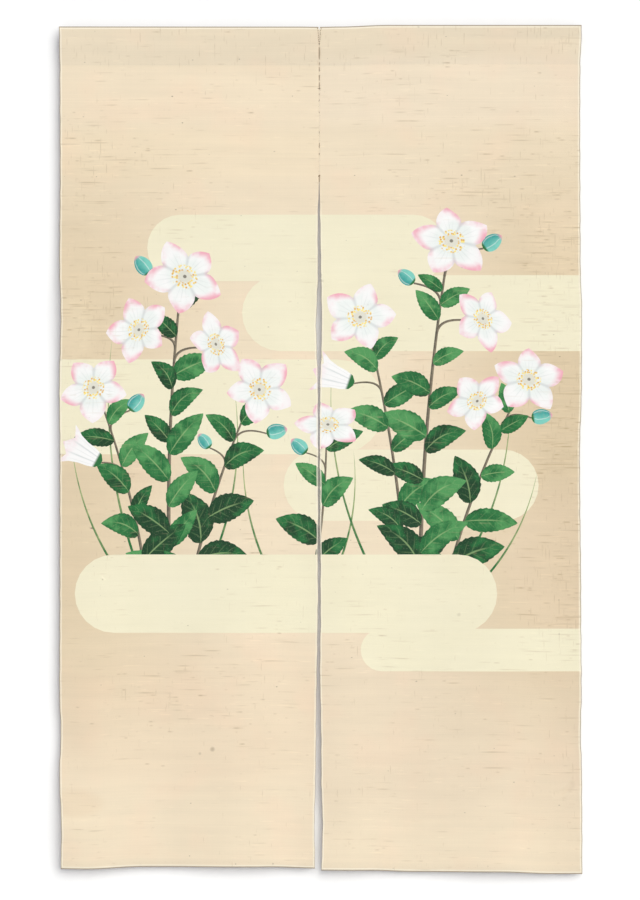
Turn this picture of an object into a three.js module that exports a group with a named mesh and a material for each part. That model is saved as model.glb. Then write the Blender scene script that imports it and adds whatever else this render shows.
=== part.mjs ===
// A doorway curtain of slubbed hemp in two panels. A short seam joins the panels at the top, and below it
// a slit parts them down to the hem. The top of each panel is turned to the back and sewn down as an empty
// rod sleeve. Millimetres, +Z up. The origin is the top of the seam, +X is the viewer's right, and the
// painted face looks along -Y.

import * as THREE from "three";

// Driving sizes
const CLOTH = 1.2; // thickness of one layer of cloth
const SEWN_GAP = 0.3; // clearance between pieces that are sewn together
const SLEEVE_DROP = 65; // height of the rod sleeve, from its top fold to its lower edge
const SLEEVE_SEWN = 6; // lowest band of the sleeve, where its two layers lie together
const SLEEVE_OPEN = 14; // how far the back of the empty sleeve stands off its front
const SLEEVE_BULGE = 1; // how far the front of the sleeve swells forward
const STIFF_DROP = 65; // height below the sleeve over which the cloth comes free to fold
const TOP_NOTCH = 2; // how far each sleeve draws back from the seam at its top fold
const NOTCH_DROP = 9; // height of that notch
const HEM = 10; // height of the doubled hem
const HEM_STEP = 1; // height over which the turned hem comes to its full thickness

// Steps of the solids
const PANEL_COLUMNS = 16;
const PANEL_ROWS = 44;
const SLEEVE_STEPS = 16;
const SECTION_STEPS = 10;

// Side edges: how far each stands from the seam line, by the drop below the top.
const SIDE_EDGES = [
  { down: 0, left: 438.5, right: 442.5 },
  { down: 70, left: 437.5, right: 440 },
  { down: 250, left: 437, right: 440 },
  { down: 400, left: 438, right: 440.5 },
  { down: 480, left: 435.5, right: 443 },
  { down: 610, left: 438.5, right: 442.5 },
  { down: 720, left: 437.5, right: 439 },
  { down: 960, left: 437.5, right: 441.5 },
  { down: 1120, left: 438, right: 442.5 },
  { down: 1190, left: 436, right: 441 },
  { down: 1260, left: 438, right: 443 },
  { down: 1355, left: 434.5, right: 443.5 },
  { down: 1430, left: 436, right: 443.5 },
];

// Slit edges: how far each stands from the seam line. The first rows are the seam itself.
const SLIT_EDGES = [
  { down: 0, left: 0.15, right: 0.15 },
  { down: 251, left: 0.15, right: 0.15 },
  { down: 317, left: 1.8, right: 0.6 },
  { down: 418, left: 2, right: 3.7 },
  { down: 500, left: 5.2, right: 4 },
  { down: 581, left: 2.7, right: 3.2 },
  { down: 728, left: 3, right: 1.7 },
  { down: 792, left: 2, right: 1.2 },
  { down: 858, left: 2.7, right: 1.5 },
  { down: 971, left: 2, right: 3.2 },
  { down: 1148, left: 5.1, right: 3.7 },
  { down: 1269, left: 6.6, right: 3.4 },
  { down: 1340, left: 7.9, right: 6.3 },
  { down: 1430, left: 7.2, right: 3.7 },
];

// Foot of each panel: its drop, by the share of the way across from the slit to the side.
const HEM_LINE = [
  { across: 0, left: 1418, right: 1421 },
  { across: 0.18, left: 1415.5, right: 1421.5 },
  { across: 0.35, left: 1415.5, right: 1424 },
  { across: 0.68, left: 1415.5, right: 1424 },
  { across: 0.9, left: 1419, right: 1427.5 },
  { across: 1, left: 1418.5, right: 1427.5 },
];

// Top fold: its rise above the top of the seam.
const TOP_LINE = [
  { across: 0, left: 0, right: 0 },
  { across: 0.08, left: 0.4, right: 0.5 },
  { across: 0.26, left: 0.4, right: 3.2 },
  { across: 1, left: 0.6, right: 3.2 },
];

// How far the back of each sleeve stands open, as a share of SLEEVE_OPEN.
const SLEEVE_SWELL = [
  { across: 0, left: 0.9, right: 0.9 },
  { across: 0.3, left: 1.05, right: 0.94 },
  { across: 0.65, left: 0.92, right: 1.06 },
  { across: 1, left: 1.08, right: 1 },
];

// Soft upright folds, by their distance from the seam line at the hem. Depth is backward, and each fold
// grows from its own drop down to the hem.
const FOLDS = [
  { side: "left", out: 28, spread: 46, depth: 3.6, from: 280 },
  { side: "left", out: 140, spread: 72, depth: -4.4, from: 360 },
  { side: "left", out: 268, spread: 76, depth: 4.2, from: 420 },
  { side: "left", out: 390, spread: 52, depth: -3.2, from: 300 },
  { side: "right", out: 34, spread: 50, depth: -3.4, from: 280 },
  { side: "right", out: 156, spread: 80, depth: 4.6, from: 400 },
  { side: "right", out: 292, spread: 74, depth: -3.8, from: 380 },
  { side: "right", out: 412, spread: 52, depth: 3.6, from: 320 },
];

// Ripples of the free edges, where the outline draws in. Reach is along the edge and into is away from it.
const RIPPLES = [
  { side: "left", edge: "side", down: 480, reach: 62, into: 46, depth: -5 },
  { side: "left", edge: "side", down: 1190, reach: 44, into: 40, depth: 3.6 },
  { side: "left", edge: "side", down: 1352, reach: 46, into: 44, depth: -4.6 },
  { side: "left", edge: "slit", down: 500, reach: 66, into: 44, depth: 5 },
  { side: "left", edge: "slit", down: 1330, reach: 80, into: 48, depth: -3.4 },
  { side: "right", edge: "side", down: 170, reach: 90, into: 44, depth: 3.4 },
  { side: "right", edge: "side", down: 730, reach: 84, into: 48, depth: -4.8 },
  { side: "right", edge: "slit", down: 440, reach: 58, into: 42, depth: -4.2 },
  { side: "right", edge: "slit", down: 1335, reach: 52, into: 42, depth: 4 },
];

const hemp = new THREE.MeshStandardMaterial({ color: 0xefdec3, roughness: 0.95, metalness: 0 });
const doubledHemp = new THREE.MeshStandardMaterial({ color: 0xe9dac0, roughness: 0.95, metalness: 0 });

const { clamp, lerp, smoothstep } = THREE.MathUtils;

// One column of a table at a place along its key, passing smoothly from row to row.
function read(table, key, place, column) {
  const next = table.findIndex((row) => row[key] >= place);
  if (next === 0) return table[0][column];
  if (next < 0) return table[table.length - 1][column];
  const [above, below] = [table[next - 1], table[next]];
  return lerp(above[column], below[column], smoothstep(place, above[key], below[key]));
}

function bell(distance, spread) {
  return Math.exp(-((distance / spread) ** 2));
}

// Distance of a point of the cloth from the seam line. Across is 0 at the slit edge and 1 at the side edge.
function outward(side, across, down) {
  return lerp(read(SLIT_EDGES, "down", down, side), read(SIDE_EDGES, "down", down, side), across);
}

// How far back the middle of the cloth hangs from the plane of the seam.
function drape(side, out, down) {
  const edges = { slit: read(SLIT_EDGES, "down", down, side), side: read(SIDE_EDGES, "down", down, side) };
  const foot = HEM_LINE[0][side];
  let back = 0;
  for (const fold of FOLDS.filter((row) => row.side === side)) {
    back += fold.depth * smoothstep(down, fold.from, foot) * bell(out - fold.out, fold.spread);
  }
  for (const ripple of RIPPLES.filter((row) => row.side === side)) {
    back += ripple.depth * bell(down - ripple.down, ripple.reach) * bell(out - edges[ripple.edge], ripple.into);
  }
  return back * smoothstep(down, SLEEVE_DROP, SLEEVE_DROP + STIFF_DROP);
}

// Moves every vertex of a geometry to the place that a function gives for it.
function shaped(geometry, placeOf) {
  const position = geometry.getAttribute("position");
  const vertex = new THREE.Vector3();
  for (let i = 0; i < position.count; i++) {
    vertex.fromBufferAttribute(position, i);
    position.setXYZ(i, ...placeOf(vertex));
  }
  geometry.computeVertexNormals();
  return geometry;
}

// A panel below its sleeve: a thin box of many cells, hung in its folds, with its doubled hem at the back.
function panelGeometry(side) {
  const cells = new THREE.BoxGeometry(1, 1, 1, PANEL_COLUMNS, 1, PANEL_ROWS);
  return shaped(cells, (vertex) => {
    const across = vertex.x + 0.5;
    const row = Math.round((0.5 - vertex.z) * PANEL_ROWS);
    const top = SLEEVE_DROP + SEWN_GAP - read(TOP_LINE, "across", across, side);
    const foot = read(HEM_LINE, "across", across, side);
    const hemRow = PANEL_ROWS - 1;
    const clothFoot = foot - HEM - HEM_STEP;
    const down = row < hemRow ? lerp(top, clothFoot, row / (hemRow - 1)) : foot - (PANEL_ROWS - row) * HEM;
    const out = outward(side, across, down);
    const turned = row >= hemRow && vertex.y > 0 ? CLOTH : 0;
    return [out, drape(side, out, down) + vertex.y * CLOTH + turned, -down];
  });
}

// Section of the sleeve, as points of depth and height: the cloth's outer outline and the tunnel inside it.
function sleeveSection() {
  const half = CLOTH / 2;
  const sewnFrom = SLEEVE_DROP - SLEEVE_SEWN;
  const front = (down) => -SLEEVE_BULGE * Math.sin((Math.PI * down) / SLEEVE_DROP);
  const open = (down) => {
    const share = clamp((down - CLOTH) / (sewnFrom - CLOTH), 0, 1);
    return SLEEVE_OPEN * Math.sin(Math.PI * share);
  };
  const outside = [];
  const inside = [];
  for (let i = 0; i <= SECTION_STEPS; i++) {
    const down = (SLEEVE_DROP * i) / SECTION_STEPS;
    outside.unshift(new THREE.Vector2(front(down) - half, -down));
    outside.push(new THREE.Vector2(front(down) + half + open(down) + CLOTH, -down));
  }
  for (let i = 0; i <= SECTION_STEPS; i++) {
    const down = lerp(CLOTH, sewnFrom, i / SECTION_STEPS);
    if (i > 0) inside.push(new THREE.Vector2(front(down) + half, -down));
    if (i < SECTION_STEPS) inside.unshift(new THREE.Vector2(front(down) + half + open(down), -down));
  }
  const section = new THREE.Shape(outside);
  section.holes.push(new THREE.Path(inside));
  return section;
}

// A sleeve: its section drawn out along the top of a panel, open at both ends.
function sleeveGeometry(side) {
  const along = { depth: 1, steps: SLEEVE_STEPS, bevelEnabled: false };
  const tunnel = new THREE.ExtrudeGeometry(sleeveSection(), along);
  return shaped(tunnel, ({ x: depth, y: height, z: across }) => {
    const down = -height;
    const besideSeam = 1 - smoothstep(across, 0, 1 / SLEEVE_STEPS);
    const notch = TOP_NOTCH * besideSeam * (1 - smoothstep(down, 0, NOTCH_DROP));
    const swell = depth > CLOTH ? read(SLEEVE_SWELL, "across", across, side) : 1;
    const rise = read(TOP_LINE, "across", across, side);
    return [outward(side, across, down) + notch, depth * swell, height + rise];
  });
}

// Both sides are built outward from the seam, and the left one is then mirrored.
function addPiece(curtain, name, geometry, material, side) {
  const piece = new THREE.Mesh(geometry, material);
  piece.name = `${name}_${side}`;
  piece.scale.x = side === "left" ? -1 : 1;
  curtain.add(piece);
}

const curtain = new THREE.Group();
for (const side of ["left", "right"]) {
  addPiece(curtain, "panel", panelGeometry(side), hemp, side);
  addPiece(curtain, "sleeve", sleeveGeometry(side), doubledHemp, side);
}

export default curtain;
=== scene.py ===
"""Looks of a two-panel doorway curtain of slubbed hemp, laid out as a Blender add-on.

Each panel is one length of cloth: from its turned hem up the front, over the top fold and down the back of
the rod sleeve. The painted design lies in the cloth's own mesh, so its outlines are mesh edges and its washes
are shader nodes. Metres, +Z up. The origin is the top of the seam, and the painted face looks along -Y.
"""

import math
import random
from bisect import bisect_left
from collections import namedtuple

import bpy
from bpy.props import FloatProperty, FloatVectorProperty, PointerProperty
from mathutils import Matrix, Vector
from mathutils.geometry import delaunay_2d_cdt


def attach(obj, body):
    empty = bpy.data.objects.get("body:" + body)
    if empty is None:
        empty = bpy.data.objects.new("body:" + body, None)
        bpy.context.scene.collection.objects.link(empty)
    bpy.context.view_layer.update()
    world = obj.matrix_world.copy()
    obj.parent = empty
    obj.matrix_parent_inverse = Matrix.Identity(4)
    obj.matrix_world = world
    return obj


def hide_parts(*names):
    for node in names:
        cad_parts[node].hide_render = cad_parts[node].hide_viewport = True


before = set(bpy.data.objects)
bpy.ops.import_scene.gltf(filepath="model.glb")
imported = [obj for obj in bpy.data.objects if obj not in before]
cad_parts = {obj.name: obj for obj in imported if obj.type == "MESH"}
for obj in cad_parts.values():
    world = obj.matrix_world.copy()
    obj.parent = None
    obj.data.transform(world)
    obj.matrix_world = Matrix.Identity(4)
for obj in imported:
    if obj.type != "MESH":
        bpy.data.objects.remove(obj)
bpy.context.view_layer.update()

bl_info = {
    "name": "Noren curtain",
    "version": (1, 0, 0),
    "blender": (4, 5, 0),
    "location": "3D View > Sidebar > Noren",
    "description": "Hangs, paints and sews a two-panel doorway curtain on its solids",
    "category": "Object",
}

BODY = "root"
SIDES = {"left": -1, "right": 1}

# Sizes that the cloth shares with the solids.
SLEEVE_DROP = 0.065
SLEEVE_SEWN = 0.006
SLEEVE_OPEN = 0.014
SLEEVE_BULGE = 0.001
STIFF_DROP = 0.065
HEM = 0.010

# Sizes of the cut cloth. Cut places run across from the slit edge and along from the top fold. In the cut map
# the right panel lies BOLT_SHIFT beside the left one.
CUT_WIDTH = 0.440
CUT_DROP = 1.420
BOLT_SHIFT = 1.0
FOLD_RADIUS = 0.00045
FOLD_TURN = math.pi * FOLD_RADIUS
SEAM_END = 0.251

# Small forms: the waver of the free edges, the notch between the sleeves at the top, and the curl of the
# edges along the seam.
WAVER = 0.0004
WAVER_REACH = 0.006
WAVER_STARTS = {"slit": 1.3, "side": 4.1}
TOP_NOTCH = 0.0012
NOTCH_DROP = 0.006
NOTCH_REACH = 0.012
SEAM_CURL = 0.0012
SEAM_GAPE = 0.0002
CURL_REACH = 0.0014

# Steps of the cloth's mesh.
CELL = 0.008
EDGE_STEPS = (0.0005, 0.0011, 0.0018, 0.0035)
SEAM_CELL = 0.0015
CREASE_CELL = 0.0020
CREASE_STEPS = 32
CREASE_REACH = 3
FOLD_STEPS = 5
SLEEVE_STEPS = 20
MERGE = 1e-6

Edge = namedtuple("Edge", "down left right")
Run = namedtuple("Run", "start end sunk")
Line = namedtuple("Line", "across left right")
Fold = namedtuple("Fold", "side out spread depth start")
Ripple = namedtuple("Ripple", "side edge down reach into depth")
Crease = namedtuple("Crease", "side start bend end spread depth")
Wave = namedtuple("Wave", "pace share turn")

# Waves in which the free edges waver: pace along the edge, share of WAVER, and turn of their start.
WAVES = [
    Wave(131, 0.6, 1.0),
    Wave(223, 0.4, 2.6),
]

# Side edges: how far each stands from the seam line, by the drop below the top.
SIDE_EDGES = [
    Edge(0.000, 0.4385, 0.4425),
    Edge(0.070, 0.4375, 0.4400),
    Edge(0.250, 0.4370, 0.4400),
    Edge(0.400, 0.4380, 0.4405),
    Edge(0.480, 0.4355, 0.4430),
    Edge(0.610, 0.4385, 0.4425),
    Edge(0.720, 0.4375, 0.4390),
    Edge(0.960, 0.4375, 0.4415),
    Edge(1.120, 0.4380, 0.4425),
    Edge(1.190, 0.4360, 0.4410),
    Edge(1.260, 0.4380, 0.4430),
    Edge(1.355, 0.4345, 0.4435),
    Edge(1.430, 0.4360, 0.4435),
]

# Slit edges: how far each stands from the seam line. The first rows are the seam itself.
SLIT_EDGES = [
    Edge(0.000, 0.00003, 0.00003),
    Edge(0.251, 0.00003, 0.00003),
    Edge(0.268, 0.0008, 0.0006),
    Edge(0.310, 0.0022, 0.0013),
    Edge(0.350, 0.0024, 0.0019),
    Edge(0.418, 0.0020, 0.0028),
    Edge(0.450, 0.0032, 0.0036),
    Edge(0.500, 0.0052, 0.0042),
    Edge(0.550, 0.0040, 0.0032),
    Edge(0.590, 0.0022, 0.0014),
    Edge(0.640, 0.0020, 0.0009),
    Edge(0.728, 0.0016, 0.0005),
    Edge(0.792, 0.0018, 0.0011),
    Edge(0.850, 0.0014, 0.0005),
    Edge(0.912, 0.0024, 0.0021),
    Edge(0.957, 0.0017, 0.0019),
    Edge(1.000, 0.0026, 0.0024),
    Edge(1.040, 0.0031, 0.0014),
    Edge(1.100, 0.0042, 0.0012),
    Edge(1.148, 0.0050, 0.0024),
    Edge(1.210, 0.0055, 0.0033),
    Edge(1.269, 0.0064, 0.0034),
    Edge(1.340, 0.0081, 0.0056),
    Edge(1.430, 0.0072, 0.0037),
]

# Running stitches of the seam: from and to by their drop, and how deep each sinks between the edges. Along a
# stitch the edges draw back into a groove.
SEAM = [
    Run(0.0335, 0.0545, 0.00),
    Run(0.0590, 0.0645, 0.35),
    Run(0.0665, 0.0755, 0.50),
    Run(0.0800, 0.0905, 0.35),
    Run(0.0915, 0.1070, 0.50),
    Run(0.1115, 0.1145, 0.65),
    Run(0.1200, 0.1265, 0.85),
    Run(0.1420, 0.1450, 0.65),
    Run(0.1735, 0.1810, 0.85),
    Run(0.1940, 0.2050, 0.60),
    Run(0.2115, 0.2160, 0.60),
    Run(0.2495, 0.2610, 0.40),
]

# Foot of each panel: its drop, by the share of the way across from the slit to the side.
HEM_LINE = [
    Line(0.00, 1.4180, 1.4210),
    Line(0.18, 1.4155, 1.4215),
    Line(0.35, 1.4155, 1.4240),
    Line(0.68, 1.4155, 1.4240),
    Line(0.90, 1.4190, 1.4275),
    Line(1.00, 1.4185, 1.4275),
]

# Top fold: its rise above the top of the seam.
TOP_LINE = [
    Line(0.00, 0.0, 0.0),
    Line(0.08, 0.0004, 0.0005),
    Line(0.26, 0.0004, 0.0032),
    Line(1.00, 0.0006, 0.0032),
]

# How far the back of each sleeve stands open, as a share of SLEEVE_OPEN.
SLEEVE_SWELL = [
    Line(0.00, 0.90, 0.90),
    Line(0.30, 1.05, 0.94),
    Line(0.65, 0.92, 1.06),
    Line(1.00, 1.08, 1.00),
]

# Soft upright folds, by their distance from the seam line at the hem. Depth is backward, and each fold grows
# from its own drop down to the hem.
FOLDS = [
    Fold("left", 0.028, 0.046, 0.0036, 0.280),
    Fold("left", 0.140, 0.072, -0.0044, 0.360),
    Fold("left", 0.268, 0.076, 0.0042, 0.420),
    Fold("left", 0.390, 0.052, -0.0032, 0.300),
    Fold("right", 0.034, 0.050, -0.0034, 0.280),
    Fold("right", 0.156, 0.080, 0.0046, 0.400),
    Fold("right", 0.292, 0.074, -0.0038, 0.380),
    Fold("right", 0.412, 0.052, 0.0036, 0.320),
]

# Ripples of the free edges, where the outline draws in. Reach is along the edge and into is away from it.
RIPPLES = [
    Ripple("left", "side", 0.480, 0.062, 0.046, -0.0050),
    Ripple("left", "side", 1.190, 0.044, 0.040, 0.0036),
    Ripple("left", "side", 1.352, 0.046, 0.044, -0.0046),
    Ripple("left", "slit", 0.500, 0.066, 0.044, 0.0050),
    Ripple("left", "slit", 1.330, 0.080, 0.048, -0.0034),
    Ripple("right", "side", 0.170, 0.090, 0.044, 0.0034),
    Ripple("right", "side", 0.730, 0.084, 0.048, -0.0048),
    Ripple("right", "slit", 0.440, 0.058, 0.042, -0.0042),
    Ripple("right", "slit", 1.335, 0.052, 0.042, 0.0040),
]

# Soft creases along bent lines, whose points are a distance from the seam line and a drop. Depth is backward.
CREASES = [
    Crease("right", (0.4270, 1.2680), (0.4215, 1.2930), (0.3930, 1.2965), 0.0044, 0.0026),
]

# How far above and below its bend a crease is felt.
CREASE_WINDOW = 0.064


# The shape in which the cloth hangs

def lerp(low, high, share):
    return low + (high - low) * share


def clamp(share):
    return min(max(share, 0), 1)


def ease(place, low, high):
    """0 before low, 1 after high and smooth between them."""
    share = clamp((place - low) / (high - low))
    return share * share * (3 - 2 * share)


def bell(distance, spread):
    """1 at no distance, falling off smoothly over the spread."""
    return math.exp(-((distance / spread) ** 2))


def read(table, place, column):
    """One column of a table, passing smoothly from row to row along the table's first column."""
    above = table[0]
    for below in table:
        if place <= below[0]:
            break
        above = below
    if below[0] <= above[0] or place > below[0]:
        return getattr(below, column)
    return lerp(getattr(above, column), getattr(below, column), ease(place, above[0], below[0]))


def bent_line(start, bend, end, steps):
    """Points along a line that leaves its start towards a bend and comes to its end from there."""
    shares = [step / steps for step in range(steps + 1)]
    return [start.lerp(bend, share).lerp(bend.lerp(end, share), share) for share in shares]


def crease_line(crease):
    """Points along a crease."""
    ends = [Vector(point) for point in (crease.start, crease.bend, crease.end)]
    return bent_line(*ends, CREASE_STEPS)


CREASE_LINES = [(crease, crease_line(crease)) for crease in CREASES]


def creased(side, out, down):
    """How far back the creases press the cloth, most of all half way along each."""
    back = 0
    for crease, line in CREASE_LINES:
        if crease.side == side and abs(down - crease.bend[1]) < CREASE_WINDOW:
            gaps = [(point - Vector((out, down))).length for point in line]
            gap = min(gaps)
            share = gaps.index(gap) / CREASE_STEPS
            back += crease.depth * bell(gap, crease.spread) * math.sin(math.pi * share)
    return back


def drape(side, out, down):
    """How far back the cloth hangs from the plane of the seam."""
    edges = {"slit": read(SLIT_EDGES, down, side), "side": read(SIDE_EDGES, down, side)}
    foot = getattr(HEM_LINE[0], side)
    back = 0
    for fold in FOLDS:
        if fold.side == side:
            back += fold.depth * ease(down, fold.start, foot) * bell(out - fold.out, fold.spread)
    for ripple in RIPPLES:
        if ripple.side == side:
            along_edge = bell(down - ripple.down, ripple.reach)
            back += ripple.depth * along_edge * bell(out - edges[ripple.edge], ripple.into)
    return back * ease(down, SLEEVE_DROP, SLEEVE_DROP + STIFF_DROP) + creased(side, out, down)


def seam_groove(down):
    """How far the seam's edges draw back at a drop, 0 between stitches and up to 1 along one."""
    for run in SEAM:
        if run.start <= down < run.end:
            share = (down - run.start) / (run.end - run.start)
            return (1 - run.sunk) * math.sqrt(math.sin(math.pi * share))
    return 0


def waver(side, down, edge):
    """How far a free edge strays at a drop, as the threads at the edge pull unevenly."""
    start = SIDES[side] * WAVER_STARTS[edge]
    return WAVER * sum(wave.share * math.sin(down * wave.pace + wave.turn * start) for wave in WAVES)


def sleeve_back_section():
    """Length, drop and depth of points down the back of the open sleeve, from its fold to its sewn edge."""
    section = [(0, 0, 0)]
    for step in range(1, SLEEVE_STEPS + 1):
        down = SLEEVE_DROP * step / SLEEVE_STEPS
        share = min(down / (SLEEVE_DROP - SLEEVE_SEWN), 1)
        back = SLEEVE_OPEN * math.sin(math.pi * share)
        length = section[-1][0] + math.dist((down, back), section[-1][1:])
        section.append((length, down, back))
    return section


SLEEVE_BACK = sleeve_back_section()
HEM_TURN = FOLD_TURN + HEM


def around_fold(turned):
    """Drop past the fold and depth behind the front, for a length of cloth turned over a fold."""
    angle = turned / FOLD_RADIUS
    return FOLD_RADIUS * math.sin(angle), FOLD_RADIUS * (1 - math.cos(angle))


def along_sleeve(turned):
    """Drop and depth of the back of the sleeve, for a length of cloth turned past the top fold."""
    row = min(max(bisect_left(SLEEVE_BACK, (turned,)), 1), SLEEVE_STEPS)
    (start, top, near), (end, low, far) = SLEEVE_BACK[row - 1:row + 1]
    share = (turned - start) / (end - start)
    return lerp(top, low, share), lerp(near, far, share)


def folded(side, across, along):
    """Drop of a point of the cut cloth, and its depth behind the front where it is turned over a fold."""
    rise = read(TOP_LINE, across, side)
    foot = read(HEM_LINE, across, side)
    if along <= -FOLD_TURN:
        drop, depth = along_sleeve(-along - FOLD_TURN)
        return drop - rise, depth * read(SLEEVE_SWELL, across, side) + 2 * FOLD_RADIUS
    if along < 0:
        past, behind = around_fold(-along)
        return -rise - past, behind
    if along <= CUT_DROP:
        return lerp(-rise, foot, along / CUT_DROP), 0
    if along <= CUT_DROP + FOLD_TURN:
        past, behind = around_fold(along - CUT_DROP)
        return foot + past, behind
    return foot - (along - CUT_DROP - FOLD_TURN), 2 * FOLD_RADIUS


def hang(side, across, along):
    """Where a point of the cut cloth hangs, given its share across and its length from the top fold."""
    down, behind = folded(side, across, along)
    slit = read(SLIT_EDGES, down, side)
    edge = read(SIDE_EDGES, down, side)
    out = lerp(slit, edge, across)
    from_slit = out - slit
    free = ease(down, SEAM_END, SEAM_END + STIFF_DROP)
    stray = waver(side, down, "side") * bell(edge - out, WAVER_REACH)
    stray += free * waver(side, down, "slit") * bell(from_slit, WAVER_REACH)
    if along >= 0 and down < SLEEVE_DROP:
        behind -= SLEEVE_BULGE * math.sin(math.pi * max(down, 0) / SLEEVE_DROP)
    groove = seam_groove(down) * bell(from_slit, CURL_REACH)
    notch = TOP_NOTCH * (1 - ease(down, 0, NOTCH_DROP)) * (1 - ease(from_slit, 0, NOTCH_REACH))
    behind += SEAM_CURL * groove
    out += SEAM_GAPE * groove
    out += stray + notch
    return Vector((SIDES[side] * out, drape(side, out, down) + behind, -down))


def front_along(side, across, down):
    """Length along the cut cloth at a drop of its front."""
    rise = read(TOP_LINE, across, side)
    return CUT_DROP * (down + rise) / (read(HEM_LINE, across, side) + rise)


def cut_place(side, x, z):
    """Cut place of a point of the front, given as it is seen face on."""
    down = -z
    slit = read(SLIT_EDGES, down, side)
    across = (SIDES[side] * x - slit) / (read(SIDE_EDGES, down, side) - slit)
    return Vector((across * CUT_WIDTH, front_along(side, clamp(across), down)))


# The painted design: bellflowers that rise out of bands of mist

Motif = namedtuple("Motif", "paint outline local shade")
Mist = namedtuple("Mist", "start end height half")
Grass = namedtuple("Grass", "foot heading length bow")
Stem = namedtuple("Stem", "foot top rise bow thick leaves")
Sprig = namedtuple("Sprig", "stem share lean reach form size tilt turn")
Form = namedtuple("Form", "foot point widest")

PAINTS = ("bare", "mist", "grass", "stem", "leaf", "bud", "petal", "bell")
STEM_FOOT = -0.985
MIST_STEPS = 12
STEM_STEPS = 24
DESIGN_SEED = 11

# Leaves: their outline, their places along a stem, their lean from it in degrees, and their sizes.
LEAF_STEPS = 27
LEAF_NOTCHES = 9
LEAF_SAW = 0.12
LEAF_FORM = Form(0.6, 0.9, 0.364)
LEAF_PLACES = (0.12, 0.93)
LEAF_STRAY = 0.025
LEAF_LEANS = (34, 74)
LEAF_LENGTHS = (0.094, 0.058)
LEAF_VARIES = (0.80, 1.18)
LEAF_BOWS = (0.02, 0.15)
LEAF_WIDTHS = (0.40, 0.54)
THINNEST = 0.02

# Grasses, buds and the stalks of flowers.
GRASS_WIDTH = 0.0052
GRASS_BASE = 0.55
GRASS_SWELL = 3
GRASS_POINT = 0.7
BUD_FORM = Form(0.5, 0.68, 0.447)
BUD_WIDTH = 0.72
SPRIG_ELBOW = 0.5
SPRIG_THICK = (0.6, 0.4)

# Open flowers and bells.
PETALS = 5
PETAL_STEPS = 14
PETAL_NOTCH = 0.58
PETAL_POINT = 0.80
PETAL_UNEVEN = 0.055
PETAL_WAVE = 0.02
PETAL_WAVES = 7
FLOWER_RISE = 0.3
BELL_NECK = 0.34
BELL_WIDTH = 0.48

# Bands of mist: from and to across the curtain, height of the middle and half thickness.
FAR_MIST = [
    Mist(-0.290, 0.215, -0.372, 0.056),
    Mist(-0.130, 0.540, -0.482, 0.064),
    Mist(-0.560, 0.110, -0.640, 0.080),
    Mist(-0.060, 0.370, -0.772, 0.060),
]
NEAR_MIST = [
    Mist(-0.412, 0.300, -0.955, 0.066),
    Mist(0.070, 0.480, -1.050, 0.036),
]

# Blades of grass: foot across the curtain, heading in degrees from straight up, length and sideways bow.
GRASSES = [
    Grass(-0.285, -24, 0.330, -0.030),
    Grass(-0.275, -9, 0.470, -0.034),
    Grass(-0.225, 12, 0.390, 0.036),
    Grass(-0.045, -16, 0.300, -0.026),
    Grass(-0.010, 14, 0.280, 0.026),
    Grass(0.130, -15, 0.420, -0.036),
    Grass(0.185, 20, 0.400, 0.040),
    Grass(0.215, 33, 0.280, 0.028),
]

# Stems: foot and top across the curtain, height of the top, sideways bow, thickness at the foot, leaves.
STEMS = [
    Stem(-0.285, -0.365, -0.640, 0.022, 0.0062, 8),
    Stem(-0.250, -0.235, -0.455, -0.020, 0.0076, 12),
    Stem(-0.225, -0.120, -0.640, -0.022, 0.0062, 8),
    Stem(-0.020, 0.012, -0.700, 0.014, 0.0056, 6),
    Stem(0.150, 0.085, -0.520, 0.022, 0.0066, 10),
    Stem(0.170, 0.215, -0.395, -0.024, 0.0078, 13),
    Stem(0.205, 0.335, -0.620, -0.030, 0.0064, 9),
]

# Flowers and buds: the stem they grow on, the share of its height, their lean from it in degrees, the length
# of the stalk, the form, the size, and for an open flower its tilt away and its turn in degrees.
SPRIGS = [
    Sprig(0, 0.86, 58, 0.048, "bud", 0.036, 1.0, 0),
    Sprig(0, 0.66, -46, 0.044, "bell", 0.074, 1.0, 0),
    Sprig(0, 1.00, -6, 0.018, "petal", 0.061, 0.88, 12),
    Sprig(1, 0.94, -44, 0.078, "bud", 0.038, 1.0, 0),
    Sprig(1, 0.80, 62, 0.060, "petal", 0.056, 0.82, 5),
    Sprig(1, 0.84, -66, 0.052, "petal", 0.058, 0.90, 31),
    Sprig(1, 1.00, 8, 0.016, "petal", 0.066, 0.96, 40),
    Sprig(2, 0.82, 56, 0.056, "bud", 0.036, 1.0, 0),
    Sprig(2, 0.70, -58, 0.040, "bud", 0.030, 1.0, 0),
    Sprig(2, 1.00, 10, 0.016, "petal", 0.062, 0.90, 60),
    Sprig(3, 0.84, -50, 0.044, "bud", 0.034, 1.0, 0),
    Sprig(3, 1.00, 4, 0.014, "petal", 0.055, 0.80, 22),
    Sprig(4, 0.78, -60, 0.050, "bell", 0.074, 1.0, 0),
    Sprig(4, 1.00, -14, 0.016, "petal", 0.063, 0.92, 30),
    Sprig(5, 0.95, 46, 0.080, "bud", 0.038, 1.0, 0),
    Sprig(5, 0.86, -58, 0.058, "bud", 0.034, 1.0, 0),
    Sprig(5, 0.78, 64, 0.066, "petal", 0.056, 0.84, 48),
    Sprig(5, 1.00, 4, 0.016, "petal", 0.066, 0.95, 20),
    Sprig(6, 0.80, -50, 0.056, "petal", 0.056, 0.80, 10),
    Sprig(6, 0.86, 56, 0.046, "bud", 0.036, 1.0, 0),
    Sprig(6, 1.00, 8, 0.014, "petal", 0.062, 0.90, 33),
]

# Half of a bellflower seen from the side, as shares of its length and of its half width.
BELL_OUTLINE = [
    (0.00, 0.10), (0.08, 0.34), (0.25, 0.46), (0.48, 0.54), (0.68, 0.68),
    (0.82, 0.88), (0.93, 1.00), (0.86, 0.72), (0.80, 0.44), (0.90, 0.20), (1.00, 0.0),
]


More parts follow.
